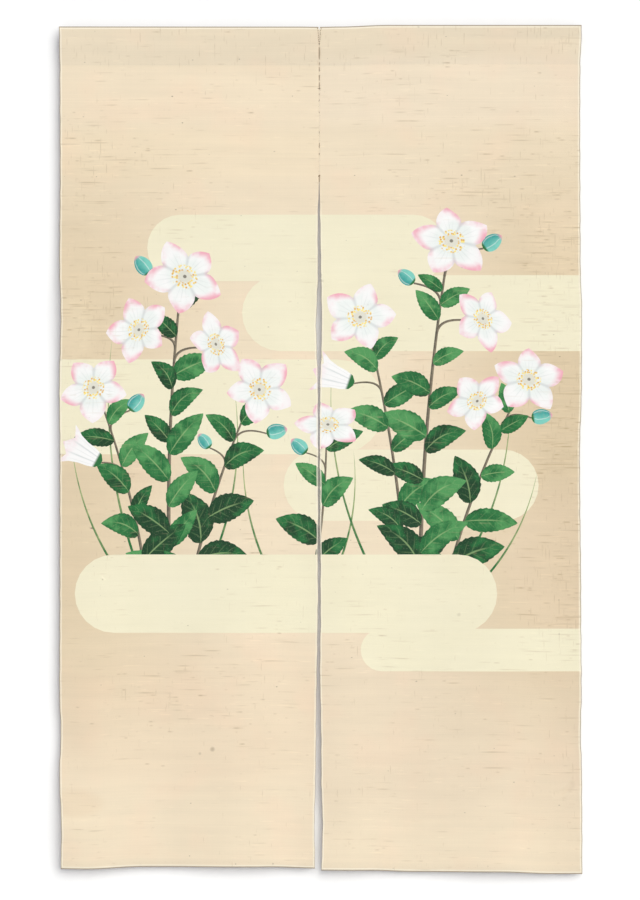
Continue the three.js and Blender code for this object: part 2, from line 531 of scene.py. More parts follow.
def directions(heading):
    """The way along a heading, measured in degrees from straight up towards +X, and the way across it."""
    angle = math.radians(heading)
    return Vector((math.sin(angle), math.cos(angle))), Vector((math.cos(angle), -math.sin(angle)))


def heading_of(way):
    """The heading of a way, in degrees from straight up towards +X."""
    return math.degrees(math.atan2(way.x, way.y))


def pointed_half(share, form):
    """Half width by the share of the length, 1 where it is widest."""
    share = clamp(share)
    return share ** form.foot * (1 - share) ** form.point / form.widest


def leaf_half(share):
    """Half width of a leaf, widest before its middle and drawn out to a point."""
    return pointed_half(share, LEAF_FORM)


def bud_half(share):
    """Half width of a balloon bud."""
    return pointed_half(share, BUD_FORM)


def grass_half(share):
    """Half width of a blade of grass, which thins to a long point."""
    share = clamp(share)
    return min(GRASS_BASE + GRASS_SWELL * share, 1) * (1 - share) ** GRASS_POINT


def bell_half(share):
    """Half width of a bellflower seen from the side, from its neck to its mouth."""
    return lerp(BELL_NECK, 1.0, clamp(share))


def blade(paint, foot, heading, length, width, bow, shade, half, notches=0):
    """A leaf, bud or blade of grass. Its local places run along its bowed midrib and across it."""
    axis, across = directions(heading)

    def bowed(share):
        return 4 * bow * share * (1 - share)

    def spot(step, way):
        share = step / LEAF_STEPS
        saw = 1 + LEAF_SAW * (step * notches / LEAF_STEPS % 1) if notches else 1
        return foot + axis * (share * length) + across * (bowed(share) + way * width / 2 * half(share) * saw)

    def local(point):
        share = (point - foot).dot(axis) / length
        offset = (point - foot).dot(across) - bowed(share)
        return share, offset / max(width / 2 * half(share), width * THINNEST)

    outline = [spot(step, 1) for step in range(LEAF_STEPS + 1)]
    outline += [spot(step, -1) for step in range(LEAF_STEPS - 1, 0, -1)]
    return Motif(paint, outline, local, shade)


def bell_flower(foot, heading, length, shade):
    """A bellflower from the side, with three of its points showing."""
    axis, across = directions(heading)
    half_width = length * BELL_WIDTH

    def local(point):
        share = (point - foot).dot(axis) / length
        return share, (point - foot).dot(across) / (half_width * bell_half(share))

    rows = list(BELL_OUTLINE)
    rows += [(share, -side) for share, side in reversed(BELL_OUTLINE[:-1])]
    outline = [foot + axis * (share * length) + across * (side * half_width) for share, side in rows]
    return Motif("bell", outline, local, shade)


def star_radius(angle):
    """Radius of an open bellflower: pointed petals with a notch between each two."""
    sector = math.tau / PETALS
    off = abs(angle / sector - round(angle / sector)) * 2
    return PETAL_NOTCH + (1 - PETAL_NOTCH) * (1 - off) ** PETAL_POINT


def open_flower(centre, heading, sprig, shade, chance):
    """An open bellflower, turned about its middle and tilted away along its heading."""
    axis, across = directions(heading)
    radius, tilted = sprig.size, sprig.size * sprig.tilt
    spin = Matrix.Rotation(math.radians(sprig.turn), 2)
    wave = chance.uniform(0, math.tau)

    def uneven(angle):
        return 1 + PETAL_UNEVEN * (math.cos(angle + wave) + math.cos(2 * angle - 3 * wave))

    def local(point):
        place = point - centre
        spot = spin @ Vector((place.dot(axis) / tilted, place.dot(across) / radius))
        return spot / uneven(math.atan2(spot.y, spot.x))

    outline = []
    for step in range(PETALS * PETAL_STEPS):
        angle = math.tau * step / (PETALS * PETAL_STEPS)
        reach = star_radius(angle) * uneven(angle) * (1 + PETAL_WAVE * math.sin(PETAL_WAVES * angle + wave))
        near = spin.transposed() @ Vector((reach * math.cos(angle), reach * math.sin(angle)))
        outline.append(centre + axis * (near.x * tilted) + across * (near.y * radius))
    return Motif("petal", outline, local, shade)


def stalk(foot, bend, top, thick, thin, shade):
    """A stem along a bent line, tapering to its top. Its local places run along the line and across it."""
    line = bent_line(foot, bend, top, STEM_STEPS)
    ways = [(after - before).normalized() for before, after in zip([line[0]] + line, line[1:] + [line[-1]])]
    halves = [lerp(thick, thin, step / STEM_STEPS) / 2 for step in range(STEM_STEPS + 1)]
    sides = [Vector((way.y, -way.x)) * half for way, half in zip(ways, halves)]

    def local(point):
        near = min(range(len(line)), key=lambda step: (line[step] - point).length_squared)
        return near / STEM_STEPS, (point - line[near]).dot(sides[near]) / halves[near] ** 2

    outline = [spot + side for spot, side in zip(line, sides)]
    outline += [spot - side for spot, side in zip(reversed(line), reversed(sides))]
    return Motif("stem", outline, local, shade), line, ways


def mist_band(band):
    """A level band of mist with round ends."""
    outline = []
    for end, start_angle in ((band.end - band.half, -0.5), (band.start + band.half, 0.5)):
        for step in range(MIST_STEPS + 1):
            angle = math.pi * (start_angle + step / MIST_STEPS)
            x = end + band.half * math.cos(angle)
            outline.append(Vector((x, band.height + band.half * math.sin(angle))))
    return Motif("mist", outline, lambda point: (0, 0), 0.5)


def stem_leaf(number, stem, line, ways, chance):
    """One leaf of a stem, on the other side than the leaf below it."""
    share = lerp(*LEAF_PLACES, number / (stem.leaves - 1)) + chance.uniform(-LEAF_STRAY, LEAF_STRAY)
    step = round(share * STEM_STEPS)
    way = 1 if number % 2 else -1
    heading = heading_of(ways[step]) + way * chance.uniform(*LEAF_LEANS)
    length = lerp(*LEAF_LENGTHS, share) * chance.uniform(*LEAF_VARIES)
    bow = -way * length * chance.uniform(*LEAF_BOWS)
    width = length * chance.uniform(*LEAF_WIDTHS)
    return blade("leaf", line[step], heading, length, width, bow, chance.random(), leaf_half, LEAF_NOTCHES)


def sprig_motifs(sprig, stem, line, ways, chance):
    """The stalk of a sprig, and the flower or bud at its tip."""
    step = round(sprig.share * STEM_STEPS)
    heading = heading_of(ways[step]) + sprig.lean
    axis, _ = directions(heading)
    tip = line[step] + axis * sprig.reach
    elbow = line[step] + ways[step] * sprig.reach * SPRIG_ELBOW
    thick, thin = (stem.thick * share for share in SPRIG_THICK)
    twig, _, _ = stalk(line[step], elbow, tip, thick, thin, chance.random())
    shade = chance.random()
    if sprig.form == "petal":
        return twig, open_flower(tip + axis * sprig.size * FLOWER_RISE, heading, sprig, shade, chance)
    if sprig.form == "bell":
        return twig, bell_flower(tip, heading, sprig.size, shade)
    return twig, blade("bud", tip, heading, sprig.size, sprig.size * BUD_WIDTH, 0, shade, bud_half)


def design():
    """All motifs of the design in the order in which they are painted."""
    chance = random.Random(DESIGN_SEED)
    stems, leaves, flowers = [], [], []
    for number, stem in enumerate(STEMS):
        foot = Vector((stem.foot, STEM_FOOT))
        top = Vector((stem.top, stem.rise))
        bend = (foot + top) / 2 + Vector((stem.bow, 0))
        motif, line, ways = stalk(foot, bend, top, stem.thick, stem.thick / 2, chance.random())
        stems.append(motif)
        leaves += [stem_leaf(leaf, stem, line, ways, chance) for leaf in range(stem.leaves)]
        for sprig in SPRIGS:
            if sprig.stem == number:
                twig, flower = sprig_motifs(sprig, stem, line, ways, chance)
                stems.append(twig)
                flowers.append(flower)
    chance.shuffle(leaves)
    grasses = []
    for grass in GRASSES:
        foot = Vector((grass.foot, STEM_FOOT))
        grasses.append(blade(
            "grass", foot, grass.heading, grass.length, GRASS_WIDTH, grass.bow, chance.random(), grass_half))
    far = [mist_band(band) for band in FAR_MIST]
    near = [mist_band(band) for band in NEAR_MIST]
    return far + grasses + stems + leaves + flowers + near


# Meshes

def spaced(start, end, step):
    """Places from start to end, about a step apart."""
    count = max(round((end - start) / step), 1)
    return [lerp(start, end, place / count) for place in range(count + 1)]


def cut_rows():
    """Places along the cut cloth where its mesh has a row."""
    rows = [-FOLD_TURN - length for length, down, back in reversed(SLEEVE_BACK)]
    rows += spaced(-FOLD_TURN, 0, FOLD_TURN / FOLD_STEPS)[1:]
    rows += spaced(0, CUT_DROP, CELL)[1:]
    rows += spaced(CUT_DROP, CUT_DROP + FOLD_TURN, FOLD_TURN / FOLD_STEPS)[1:]
    rows += spaced(CUT_DROP + FOLD_TURN, CUT_DROP + HEM_TURN, HEM / 2)[1:]
    return rows


def cut_columns():
    """Places across the cut cloth where its mesh has a column, closer together beside its edges."""
    inner = spaced(0, CUT_WIDTH, CELL)
    return sorted(inner + list(EDGE_STEPS) + [CUT_WIDTH - step for step in EDGE_STEPS])


def finely(loop):
    """The same loop of points, with more of them where they stand further apart than the cloth's cells."""
    fine = []
    for here, after in zip(loop, loop[1:] + loop[:1]):
        count = math.ceil((after - here).length / CELL)
        fine += [here.lerp(after, step / count) for step in range(count)]
    return fine


def counterclockwise(loop):
    """The same loop of points, running counterclockwise."""
    twice_area = sum(a.x * b.y - a.y * b.x for a, b in zip(loop, loop[1:] + loop[:1]))
    return loop if twice_area > 0 else loop[::-1]


def crease_points(side):
    """Places on the cut cloth of one panel that make its cells finer around each crease."""
    points = []
    for crease, line in CREASE_LINES:
        if crease.side != side:
            continue
        around = CREASE_REACH * crease.spread
        ranges = []
        for values in ([point.x for point in line], [point.y for point in line]):
            ranges.append(spaced(min(values) - around, max(values) + around, CREASE_CELL))
        points += [cut_place(side, SIDES[side] * out, -down) for down in ranges[1] for out in ranges[0]]
    return points


def cut_cells(side, motifs):
    """Places and cells of one panel's cut cloth, and the number of the top motif on each cell, or 0."""
    rows, columns = cut_rows(), cut_columns()
    points = [Vector((column, row)) for row in rows for column in columns]
    points += [Vector((step, row)) for row in spaced(0, SEAM_END, SEAM_CELL) for step in (0, *EDGE_STEPS)]
    points += crease_points(side)
    corners = [(0, rows[0]), (CUT_WIDTH, rows[0]), (CUT_WIDTH, rows[-1]), (0, rows[-1])]
    loops = [[Vector(corner) for corner in corners]]
    for motif in motifs:
        loops.append(counterclockwise([cut_place(side, *spot) for spot in finely(motif.outline)]))
    areas = []
    for loop in loops:
        areas.append(list(range(len(points), len(points) + len(loop))))
        points += loop
    places, _, cells, _, _, inside = delaunay_2d_cdt(points, [], areas, 0, MERGE, True)
    faces, tops = [], []
    for cell, within in zip(cells, inside):
        if 0 in within:
            faces.append(list(cell) if side == "left" else list(reversed(cell)))
            tops.append(max(within))
    return places, faces, tops


def panel_mesh(side, motifs):
    """The cloth of one panel, its cells cut along the outlines of the motifs."""
    places, faces, tops = cut_cells(side, motifs)
    hung = [hang(side, place.x / CUT_WIDTH, place.y) for place in places]
    used = sorted({corner for face in faces for corner in face})
    new = {old: number for number, old in enumerate(used)}
    mesh = bpy.data.meshes.new(f"cloth_{side}")
    mesh.from_pydata([hung[old] for old in used], [], [[new[corner] for corner in face] for face in faces])
    cut = mesh.uv_layers.new(name="cut")
    local = mesh.uv_layers.new(name="motif")
    shade = mesh.attributes.new("shade", "FLOAT", "FACE")
    bolt = Vector((BOLT_SHIFT if side == "right" else 0, 0))
    corner_number = 0
    for number, (face, top) in enumerate(zip(faces, tops)):
        motif = motifs[top - 1] if top else None
        mesh.polygons[number].material_index = PAINTS.index(motif.paint) if motif else 0
        shade.data[number].value = motif.shade if motif else 0
        for corner in face:
            cut.uv[corner_number].vector = places[corner] + bolt
            if motif:
                seen = Vector((hung[corner].x, hung[corner].z))
                local.uv[corner_number].vector = motif.local(seen)
            corner_number += 1
    mesh.shade_smooth()
    return mesh


def finished(name, mesh, materials):
    """A new piece that rides on the curtain's one body."""
    piece = bpy.data.objects.new(name, mesh)
    bpy.context.scene.collection.objects.link(piece)
    for material in materials:
        mesh.materials.append(material)
    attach(piece, BODY)
    return piece


def only(piece):
    """Leaves one piece selected and active."""
    bpy.ops.object.select_all(action="DESELECT")
    piece.select_set(True)
    bpy.context.view_layer.objects.active = piece


def thicken(piece, thickness):
    """Gives a sheet its thickness and marks the faces of its reverse."""
    fronts = len(piece.data.polygons)
    only(piece)
    bpy.ops.object.modifier_add(type="SOLIDIFY")
    solidify = piece.modifiers[-1]
    solidify.thickness = thickness
    solidify.offset = 0
    bpy.ops.object.modifier_apply(modifier=solidify.name)
    reverse = piece.data.attributes.new("reverse", "FLOAT", "FACE")
    for number in range(fronts, 2 * fronts):
        reverse.data[number].value = 1


# Stitches

Stitch = namedtuple("Stitch", "start end outward")

THREAD_SIDES = 6
SEWING_SEED = 5
FORWARD = Vector((0, -1, 0))
PRICK = 0.0016
STITCH_STRAY = 0.12
SEAM_REACH = 0.0016
SEAM_SLANT = (0.0002, 0.0009)
SEAM_VARIES = (0.85, 1.1)
TACK_STITCHES = 2
TACK_STEP = 0.0011
HEAD_DROP = 0.0300
HEAD_STITCHES = 8
HEAD_PRICK = 0.0026
HEAD_STRAY = 0.15
HEAD_SPREAD = {"left": 0.0022, "right": 0.0027}
HEAD_CLOSE = 0.0004

# Course of one stitch: shares of its length, and its height over the cloth in thicknesses of the thread.
STITCH_COURSE = [(0.0, -0.55), (0.10, -0.1), (0.30, 0.42), (0.70, 0.42), (0.90, -0.1), (1.0, -0.55)]


def stitch_form(thickness):
    """Points and faces of one stitch of unit length along X, arched along Z.

    Extruding leaves the faces in a different order each run, so they are sorted.
    """
    bpy.ops.object.select_all(action="DESELECT")
    bpy.ops.mesh.primitive_circle_add(
        vertices=THREAD_SIDES, radius=thickness / 2, fill_type="NGON", rotation=(0, math.pi / 2, 0),
        location=(0, 0, STITCH_COURSE[0][1] * thickness))
    form = bpy.context.object
    bpy.ops.object.transform_apply(location=True, rotation=True, scale=True)
    bpy.ops.object.mode_set(mode="EDIT")
    bpy.ops.mesh.select_all(action="SELECT")
    for (share, height), (next_share, next_height) in zip(STITCH_COURSE, STITCH_COURSE[1:]):
        step = (next_share - share, 0, (next_height - height) * thickness)
        bpy.ops.mesh.extrude_region_move(TRANSFORM_OT_translate={"value": step})
    bpy.ops.mesh.select_all(action="SELECT")
    bpy.ops.mesh.normals_make_consistent(inside=False)
    bpy.ops.object.mode_set(mode="OBJECT")
    points = [vertex.co.copy() for vertex in form.data.vertices]
    faces = sorted(list(face.vertices) for face in form.data.polygons)
    bpy.data.meshes.remove(form.data)
    return points, faces


def sew(name, stitches, thickness, material):
    """One piece of many stitches, each the same form laid from its start to its end."""
    form, form_faces = stitch_form(thickness)
    points, faces = [], []
    for stitch in stitches:
        run = stitch.end - stitch.start
        outward = stitch.outward.normalized()
        beside = outward.cross(run).normalized()
        shift = len(points)
        points += [stitch.start + run * spot.x + beside * spot.y + outward * spot.z for spot in form]
        faces += [[shift + corner for corner in face] for face in form_faces]
    mesh = bpy.data.meshes.new(name)
    mesh.from_pydata(points, [], faces)
    mesh.shade_smooth()
    return finished(name, mesh, [material])


def sleeve_row(side, across, sewing):
    """Cut places of the row that closes the sleeve, on the front and on the back layer."""
    down = SLEEVE_DROP - sewing.inset
    length = SLEEVE_BACK[-1][0] - sewing.inset
    return front_along(side, across, down), -FOLD_TURN - length


def hem_row(side, across, sewing):
    """Cut places of the row that holds the hem, on the front and on the turned layer."""
    up = HEM - sewing.inset
    return CUT_DROP - up, CUT_DROP + FOLD_TURN + up


def row_stitches(side, row, settings):
    """Stitches across a panel: pricks on the front, and long stitches behind from prick to prick."""
    sewing = settings.sewing
    chance = random.Random(f"{SEWING_SEED} {side} {row.__name__}")
    proud = FORWARD * (settings.cloth.thickness / 2)
    count = round(CUT_WIDTH / sewing.hem_step)
    shares = []
    for step in range(count):
        shares.append((step + 0.5 + chance.uniform(-STITCH_STRAY, STITCH_STRAY)) / count)
    half = PRICK / 2 / CUT_WIDTH
    stitches = []
    for share, after in zip(shares, shares[1:] + [None]):
        front, _ = row(side, share, sewing)
        ends = [hang(side, share + shift, front) + proud for shift in (-half, half)]
        stitches.append(Stitch(*ends, FORWARD))
        if after:
            ends = []
            for across in (share + half, after - half):
                _, back = row(side, across, sewing)
                ends.append(hang(side, across, back) - proud)
            stitches.append(Stitch(*ends, -FORWARD))
    return stitches


def seam_runs(settings):
    """The running stitches that show along the seam, each sunk between the edges."""
    proud = settings.cloth.thickness / 2
    stitches = []
    for run in SEAM:
        ends = []
        for down in (run.start, run.end):
            spot = hang("left", 0, front_along("left", 0, down))
            ends.append(Vector((0, spot.y - proud + run.sunk * settings.sewing.seam_thickness, -down)))
        stitches.append(Stitch(*ends, FORWARD))
    return stitches


def seam_head(settings):
    """Two rows of small stitches at the head of the seam, which close up to the seam line."""
    proud = FORWARD * (settings.cloth.thickness / 2)
    chance = random.Random(SEWING_SEED)
    stitches = []
    for side, spread in HEAD_SPREAD.items():
        for number in range(HEAD_STITCHES):
            share = (number + 0.5 + chance.uniform(-HEAD_STRAY, HEAD_STRAY)) / HEAD_STITCHES
            ends = []
            for shift in (-HEAD_PRICK / 2, HEAD_PRICK / 2):
                drop = HEAD_DROP * share + shift
                across = lerp(spread, HEAD_CLOSE, drop / HEAD_DROP) / CUT_WIDTH
                ends.append(hang(side, across, front_along(side, across, drop)) + proud)
            stitches.append(Stitch(*ends, FORWARD))
    return stitches


def seam_stitches(settings):
    """Slanted stitches over the seam: close ones behind, and a tack in front at the head of the slit."""
    chance = random.Random(SEWING_SEED)
    step = settings.sewing.seam_step
    fronts = [SEAM_END - number * TACK_STEP for number in range(TACK_STITCHES)]
    behind = spaced(SLEEVE_DROP + step, SEAM_END, step)
    stitches = []
    for outward, downs in ((FORWARD, fronts), (-FORWARD, behind)):
        for down in downs:
            slant = chance.uniform(*SEAM_SLANT)
            ends = []
            for side, shift in (("left", slant), ("right", -slant)):
                share = SEAM_REACH * chance.uniform(*SEAM_VARIES) / CUT_WIDTH
                spot = hang(side, share, front_along(side, share, down + shift))
                ends.append(spot + outward * (settings.cloth.thickness / 2))
            stitches.append(Stitch(*ends, outward))
    return stitches


# Shader nodes

Crowd = namedtuple("Crowd", "side across along wide high strength")
Spot = namedtuple("Spot", "side across along radius strength")
Tint = namedtuple("Tint", "side across along wide high colour")
Streak = namedtuple("Streak", "length height seed low high")
Finish = namedtuple("Finish", "paint dry hiding")

# Places where thick threads crowd: cut place, reach across and along, and strength.
CROWDS = [
    Crowd("right", 0.340, 0.250, 0.300, 0.160, 0.04),
    Crowd("right", 0.430, 0.200, 0.110, 0.060, 0.06),
    Crowd("right", 0.430, 0.410, 0.150, 0.300, 0.12),
    Crowd("right", 0.430, 0.720, 0.150, 0.260, 0.11),
    Crowd("right", 0.430, 0.960, 0.120, 0.170, 0.15),
    Crowd("right", 0.389, 0.016, 0.090, 0.035, 0.08),
    Crowd("right", 0.220, 1.230, 0.500, 0.260, 0.02),
    Crowd("left", 0.400, 0.430, 0.160, 0.360, 0.08),
    Crowd("left", 0.200, 1.100, 0.260, 0.140, 0.05),
]

# Soft dark spots in the yarn: cut place, radius and strength.
SPOTS = [
    Spot("left", 0.1780, 1.2210, 0.0058, 0.62),
    Spot("left", 0.1995, 1.2285, 0.0036, 0.42),
    Spot("right", 0.2335, 0.9885, 0.0046, 0.45),
]

# Places where the dye lies thinner or deeper: cut place, reach across and along, and what it multiplies.
TINTS = [
    Tint("left", 0.220, 0.120, 0.600, 0.060, (1.027, 1.024, 1.026)),
    Tint("left", 0.220, 0.215, 0.600, 0.055, (1.022, 1.015, 1.000)),
    Tint("left", 0.430, 0.515, 0.060, 0.075, (1.045, 1.060, 1.070)),
    Tint("left", 0.200, 1.170, 0.420, 0.150, (0.988, 0.968, 0.962)),
    Tint("left", 0.415, 1.310, 0.060, 0.030, (0.965, 0.940, 0.920)),
    Tint("right", 0.220, 0.110, 0.600, 0.075, (1.010, 1.015, 1.040)),
    Tint("right", 0.350, 0.008, 0.240, 0.018, (0.955, 0.960, 0.965)),
    Tint("right", 0.430, 0.360, 0.090, 0.110, (1.050, 1.050, 1.060)),
    Tint("right", 0.430, 0.900, 0.150, 0.170, (1.032, 1.026, 1.060)),
    Tint("right", 0.220, 1.180, 0.700, 0.190, (0.962, 0.953, 0.957)),
    Tint("right", 0.450, 1.290, 0.140, 0.200, (0.972, 0.962, 0.958)),
]

# Detail of the noise in soft clouds and in finer ones.
SOFT = 2.0
FINE = 3.0

# Thick places in single threads: their length, the height of a thread, a seed, and the range of noise over
# which they come up.
LONG_SLUBS = Streak(0.072, 0.0029, 3.5, 0.64, 0.90)
SHORT_SLUBS = Streak(0.028, 0.0034, 61.5, 0.70, 0.92)
PALE_THREADS = Streak(0.045, 0.0028, 127.5, 0.66, 0.82)
UPRIGHT_SLUBS = Streak(0.030, 0.0020, 211.5, 0.695, 0.885)
STREAK_SHIFT = 500.0
STREAK_APART = 1.37
LONG_DEPTH = 0.75
UPRIGHT_DEPTH = 0.55

# How far threads wander and crowd, and the scales of that and of the weave's bars and blotches.
WANDER = 0.0030
WANDER_SCALE = 9.0
CROWD_UNEVEN = 0.19
CROWD_SCALE = 6.5
SLEEVE_CROWD = 0.074
BAR_SCALE = 60.0
BAR_STRETCH = 0.10
BLOTCH_SCALE = 16.0

# What each part of the weave adds to its tone and to its relief.
TONES = {"weft": 0.022, "warp": 0.008, "bars": 0.080, "blotch": 0.045, "pale": 0.060}
RELIEFS = {"crossing": 0.35, "bars": 1.2, "weft": 0.3}

# Bits of stalk: the cell in which one may lie, its size, and the share of the cells that hold one.
SPECK_CELL = 0.050
SPECK_STRETCH = 0.6
SPECK_SIZE = 0.0011
SPECK_LEAST = 0.3
SPECK_SHARE = 0.45
SPECK_FAINT = 0.35
SPECK_SOFT = 0.4
SPOT_SOFT = 0.2

# Where the dye is deeper beside the design, by the place on the hanging curtain. FLANK_LEFT is the left
# side's share of the right side's depth.
FLANK_ACROSS = (0.10, 0.42)
FLANK_TOP = (-0.05, -0.48)
FLANK_FOOT = (-1.30, -0.94)
FLANK_LEFT = 0.80
FLANK_TURN = 0.2

# Warm patches, and how softly tints and the painted shade of sleeve and hem begin; two layers let less light
# through than one. The last value is the hem's share of the sleeve's painted shade.
WARM_SCALE = 11.0
WARM_PATCHES = (0.45, 0.75)
TINT_SOFT = 0.55
SLEEVE_BLUR = 0.002
HEM_BLUR = (-0.007, 0.003)
HEM_SHADE = 0.6

# Pale selvedge threads along edges and folds with a painted highlight on them, and painted shade along
# the outer edge of edges and folds, by the distance from the edge.
RIM_INNER = (0.0042, 0.0030)
RIM_OUTER = (0.0009, 0.0015)
RIM_SHADE = (0.0014, 0.0008)
SLIT_INNER = (0.0034, 0.0024)
SLIT_OUTER = (0.0005, 0.0010)
SLIT_SHADE = (0.0008, 0.0004)
SLIT_BLUR = 0.12
SELVEDGE_HIGHLIGHT_SHARE = 0.65
EDGE_SHADE_SHARE = 0.75

# What is left of the paint on the reverse and on slubs, of the tone under paint, and the shares of threads
# and specks in the colour.
SHOW_THROUGH = 0.5
SLUB_COVER = 0.88
PAINT_TONE = 0.55
SLUB_SHARE = 0.52
SPECK_TINT = 0.62

# Finish of the hemp and of the sewing thread.
HEMP_ROUGHNESS = 0.96
SLUB_ROUGHNESS = 0.86
HEMP_BUMP = 0.5
HEMP_SPECULAR = 0.15
HEMP_SHEEN = 0.08
SHEEN_ROUGHNESS = 0.6
PLY_SWING = 0.4
PLY_RELIEF = 0.0001
THREAD_ROUGHNESS = 0.85


class Sketch:
    """Adds shader nodes to a tree and links them in few words."""

    def __init__(self, tree):
        self.tree = tree

    def add(self, kind, **settings):
        node = self.tree.nodes.new(kind)
        for name, value in settings.items():
            setattr(node, name, value)
        return node

    def feed(self, socket, value):
        """Links an input to a socket, or sets it to a plain value. A plain colour is opaque."""
        if isinstance(value, bpy.types.NodeSocket):
            self.tree.links.new(value, socket)
        elif socket.type == "RGBA":
            socket.default_value = (*value, 1.0)
        else:
            socket.default_value = value

    def fill(self, node, values):
        """Feeds inputs of a node, given by their names or numbers."""
        for name, value in values.items():
            self.feed(node.inputs[name], value)
        return node

    def math(self, operation, *values):
        node = self.add("ShaderNodeMath", operation=operation)
        return self.fill(node, dict(enumerate(values))).outputs[0]

    def chain(self, operation, values):
        result = values[0]
        for value in values[1:]:
            result = self.math(operation, result, value)
        return result

    def total(self, *values):
        return self.chain("ADD", values)

    def product(self, *values):
        return self.chain("MULTIPLY", values)

    def greatest(self, *values):
        return self.chain("MAXIMUM", values)

    def weighted(self, parts, weights):
        """Sum of the parts, each times its own weight."""
        return self.total(*(self.product(parts[name], weight) for name, weight in weights.items()))

    def size(self, value):
        return self.math("ABSOLUTE", value)

    def centred(self, value):
        """A value from 0 to 1, moved to lie about 0."""
        return self.math("SUBTRACT", value, 0.5)

    def between(self, low, high, share):
        """Low at a share of 0, high at a share of 1."""
        return self.math("MULTIPLY_ADD", share, high - low, low)

    def fade(self, value, low, high):
        """0 at low and 1 at high, smooth between them."""
        node = self.add("ShaderNodeMapRange", interpolation_type="SMOOTHSTEP")
        return self.fill(node, {"Value": value, "From Min": low, "From Max": high}).outputs["Result"]

    def mix(self, share, low, high, blend="MIX"):
        """Two colours mixed. The node's sockets for colours go by number, because their names repeat."""
        node = self.add("ShaderNodeMix", data_type="RGBA", blend_type=blend)
        return self.fill(node, {0: share, 6: low, 7: high}).outputs[2]

    def choose(self, share, low, high):
        """One of two shaders, by a share of 0 or 1."""
        node = self.add("ShaderNodeMixShader")
        return self.fill(node, {0: share, 1: low.outputs[0], 2: high.outputs[0]}).outputs[0]

    def bump(self, height, distance, strength=1.0):
        node = self.add("ShaderNodeBump")
        values = {"Height": height, "Distance": distance, "Strength": strength}
        return self.fill(node, values).outputs["Normal"]

    def grey(self, value):
        node = self.add("ShaderNodeCombineColor")
        return self.fill(node, {0: value, 1: value, 2: value}).outputs[0]

    def place(self, x, y):
        return self.fill(self.add("ShaderNodeCombineXYZ"), {"X": x, "Y": y}).outputs[0]

    def split(self, vector):
        return self.fill(self.add("ShaderNodeSeparateXYZ"), {0: vector}).outputs

    def apart(self, vector, place, wide, high):
        """Distance from a place, as a share of a reach across and a reach along."""
        shares = self.add("ShaderNodeVectorMath", operation="MULTIPLY_ADD")
        start = (-place[0] / wide, -place[1] / high, 0)
        self.fill(shares, {0: vector, 1: (1 / wide, 1 / high, 0), 2: start})
        length = self.add("ShaderNodeVectorMath", operation="LENGTH")
        return self.fill(length, {0: shares.outputs[0]}).outputs["Value"]

    def noise(self, vector, scale, detail):
        node = self.add("ShaderNodeTexNoise", noise_dimensions="2D")
        return self.fill(node, {"Vector": vector, "Scale": scale, "Detail": detail}).outputs["Fac"]

    def cells(self, vector, cell):
        """Distance from the middle of a scattered cell, and three values that each cell draws by chance."""
        node = self.add("ShaderNodeTexVoronoi", voronoi_dimensions="2D")
        self.fill(node, {"Vector": vector, "Scale": 1 / cell})
        chance = self.fill(self.add("ShaderNodeSeparateColor"), {0: node.outputs["Color"]})
        return node.outputs["Distance"], chance.outputs

    def chance(self, value):
        node = self.add("ShaderNodeTexWhiteNoise", noise_dimensions="1D")
        return self.fill(node, {"W": value}).outputs["Value"]

    def map(self, name):
        return self.add("ShaderNodeUVMap", uv_map=name).outputs["UV"]

    def object_place(self):
        return self.add("ShaderNodeTexCoord").outputs["Object"]

    def attribute(self, name):
        return self.add("ShaderNodeAttribute", attribute_name=name).outputs["Fac"]


def srgb(*parts):
    """Red, green and blue as a screen gives them, from 0 to 255, made linear by the sRGB curve."""
    return [(part / 255 / 12.92) if part < 11 else ((part / 255 + 0.055) / 1.055) ** 2.4 for part in parts]


def new_group(name, inputs, outputs):
    """The sketch, the inputs and the output node of a new node group with these sockets."""
    tree = bpy.data.node_groups.new(name, "ShaderNodeTree")
    for way, sockets in (("INPUT", inputs), ("OUTPUT", outputs)):
        for label, kind in sockets.items():
            tree.interface.new_socket(label, in_out=way, socket_type=f"NodeSocket{kind}")
    sketch = Sketch(tree)
    return sketch, sketch.add("NodeGroupInput").outputs, sketch.add("NodeGroupOutput")


def new_material(name):
    """A new material, the sketch of its nodes and its shader."""
    material = bpy.data.materials.new(name)
    material.use_nodes = True
    tree = material.node_tree
    return material, Sketch(tree), tree.nodes["Principled BSDF"]


# The hemp

def on_bolt(row):
    """Cut place of a table row in the map of both panels."""
    return row.across + (BOLT_SHIFT if row.side == "right" else 0), row.along


def streaks(sketch, along, across, form, crowd):
    """Thick places in single threads, each a stroke a thread high, more of them in a crowd."""
    lane = sketch.math("DIVIDE", across, form.height)
    thread = sketch.math("FLOOR", lane)
    shift = sketch.product(sketch.chance(sketch.total(thread, form.seed)), STREAK_SHIFT)
    run = sketch.total(sketch.math("DIVIDE", along, form.length), shift)
    spot = sketch.place(run, sketch.product(thread, STREAK_APART))
    thick = sketch.total(sketch.noise(spot, 1.0, SOFT), crowd)
    profile = sketch.math("SINE", sketch.product(sketch.math("FRACT", lane), math.pi))
    return sketch.product(sketch.fade(thick, form.low, form.high), profile)


def specks(sketch, spot):
    """Scattered bits of stalk in the yarn, at most one in each cell."""
    distance, chance = sketch.cells(spot, SPECK_CELL)
    reach = sketch.product(sketch.total(SPECK_LEAST, chance[0]), SPECK_SIZE / SPECK_CELL)
    near = sketch.fade(sketch.math("DIVIDE", distance, reach), 1.0, SPECK_SOFT)
    strength = sketch.between(SPECK_FAINT, 1.0, chance[2])
    return sketch.product(near, strength, sketch.math("LESS_THAN", chance[1], SPECK_SHARE))


def in_sleeve(sketch, along):
    """1 on the two layers of the sleeve, 0 below it."""
    return sketch.fade(along, SLEEVE_DROP + SLEEVE_BLUR, SLEEVE_DROP - SLEEVE_BLUR)


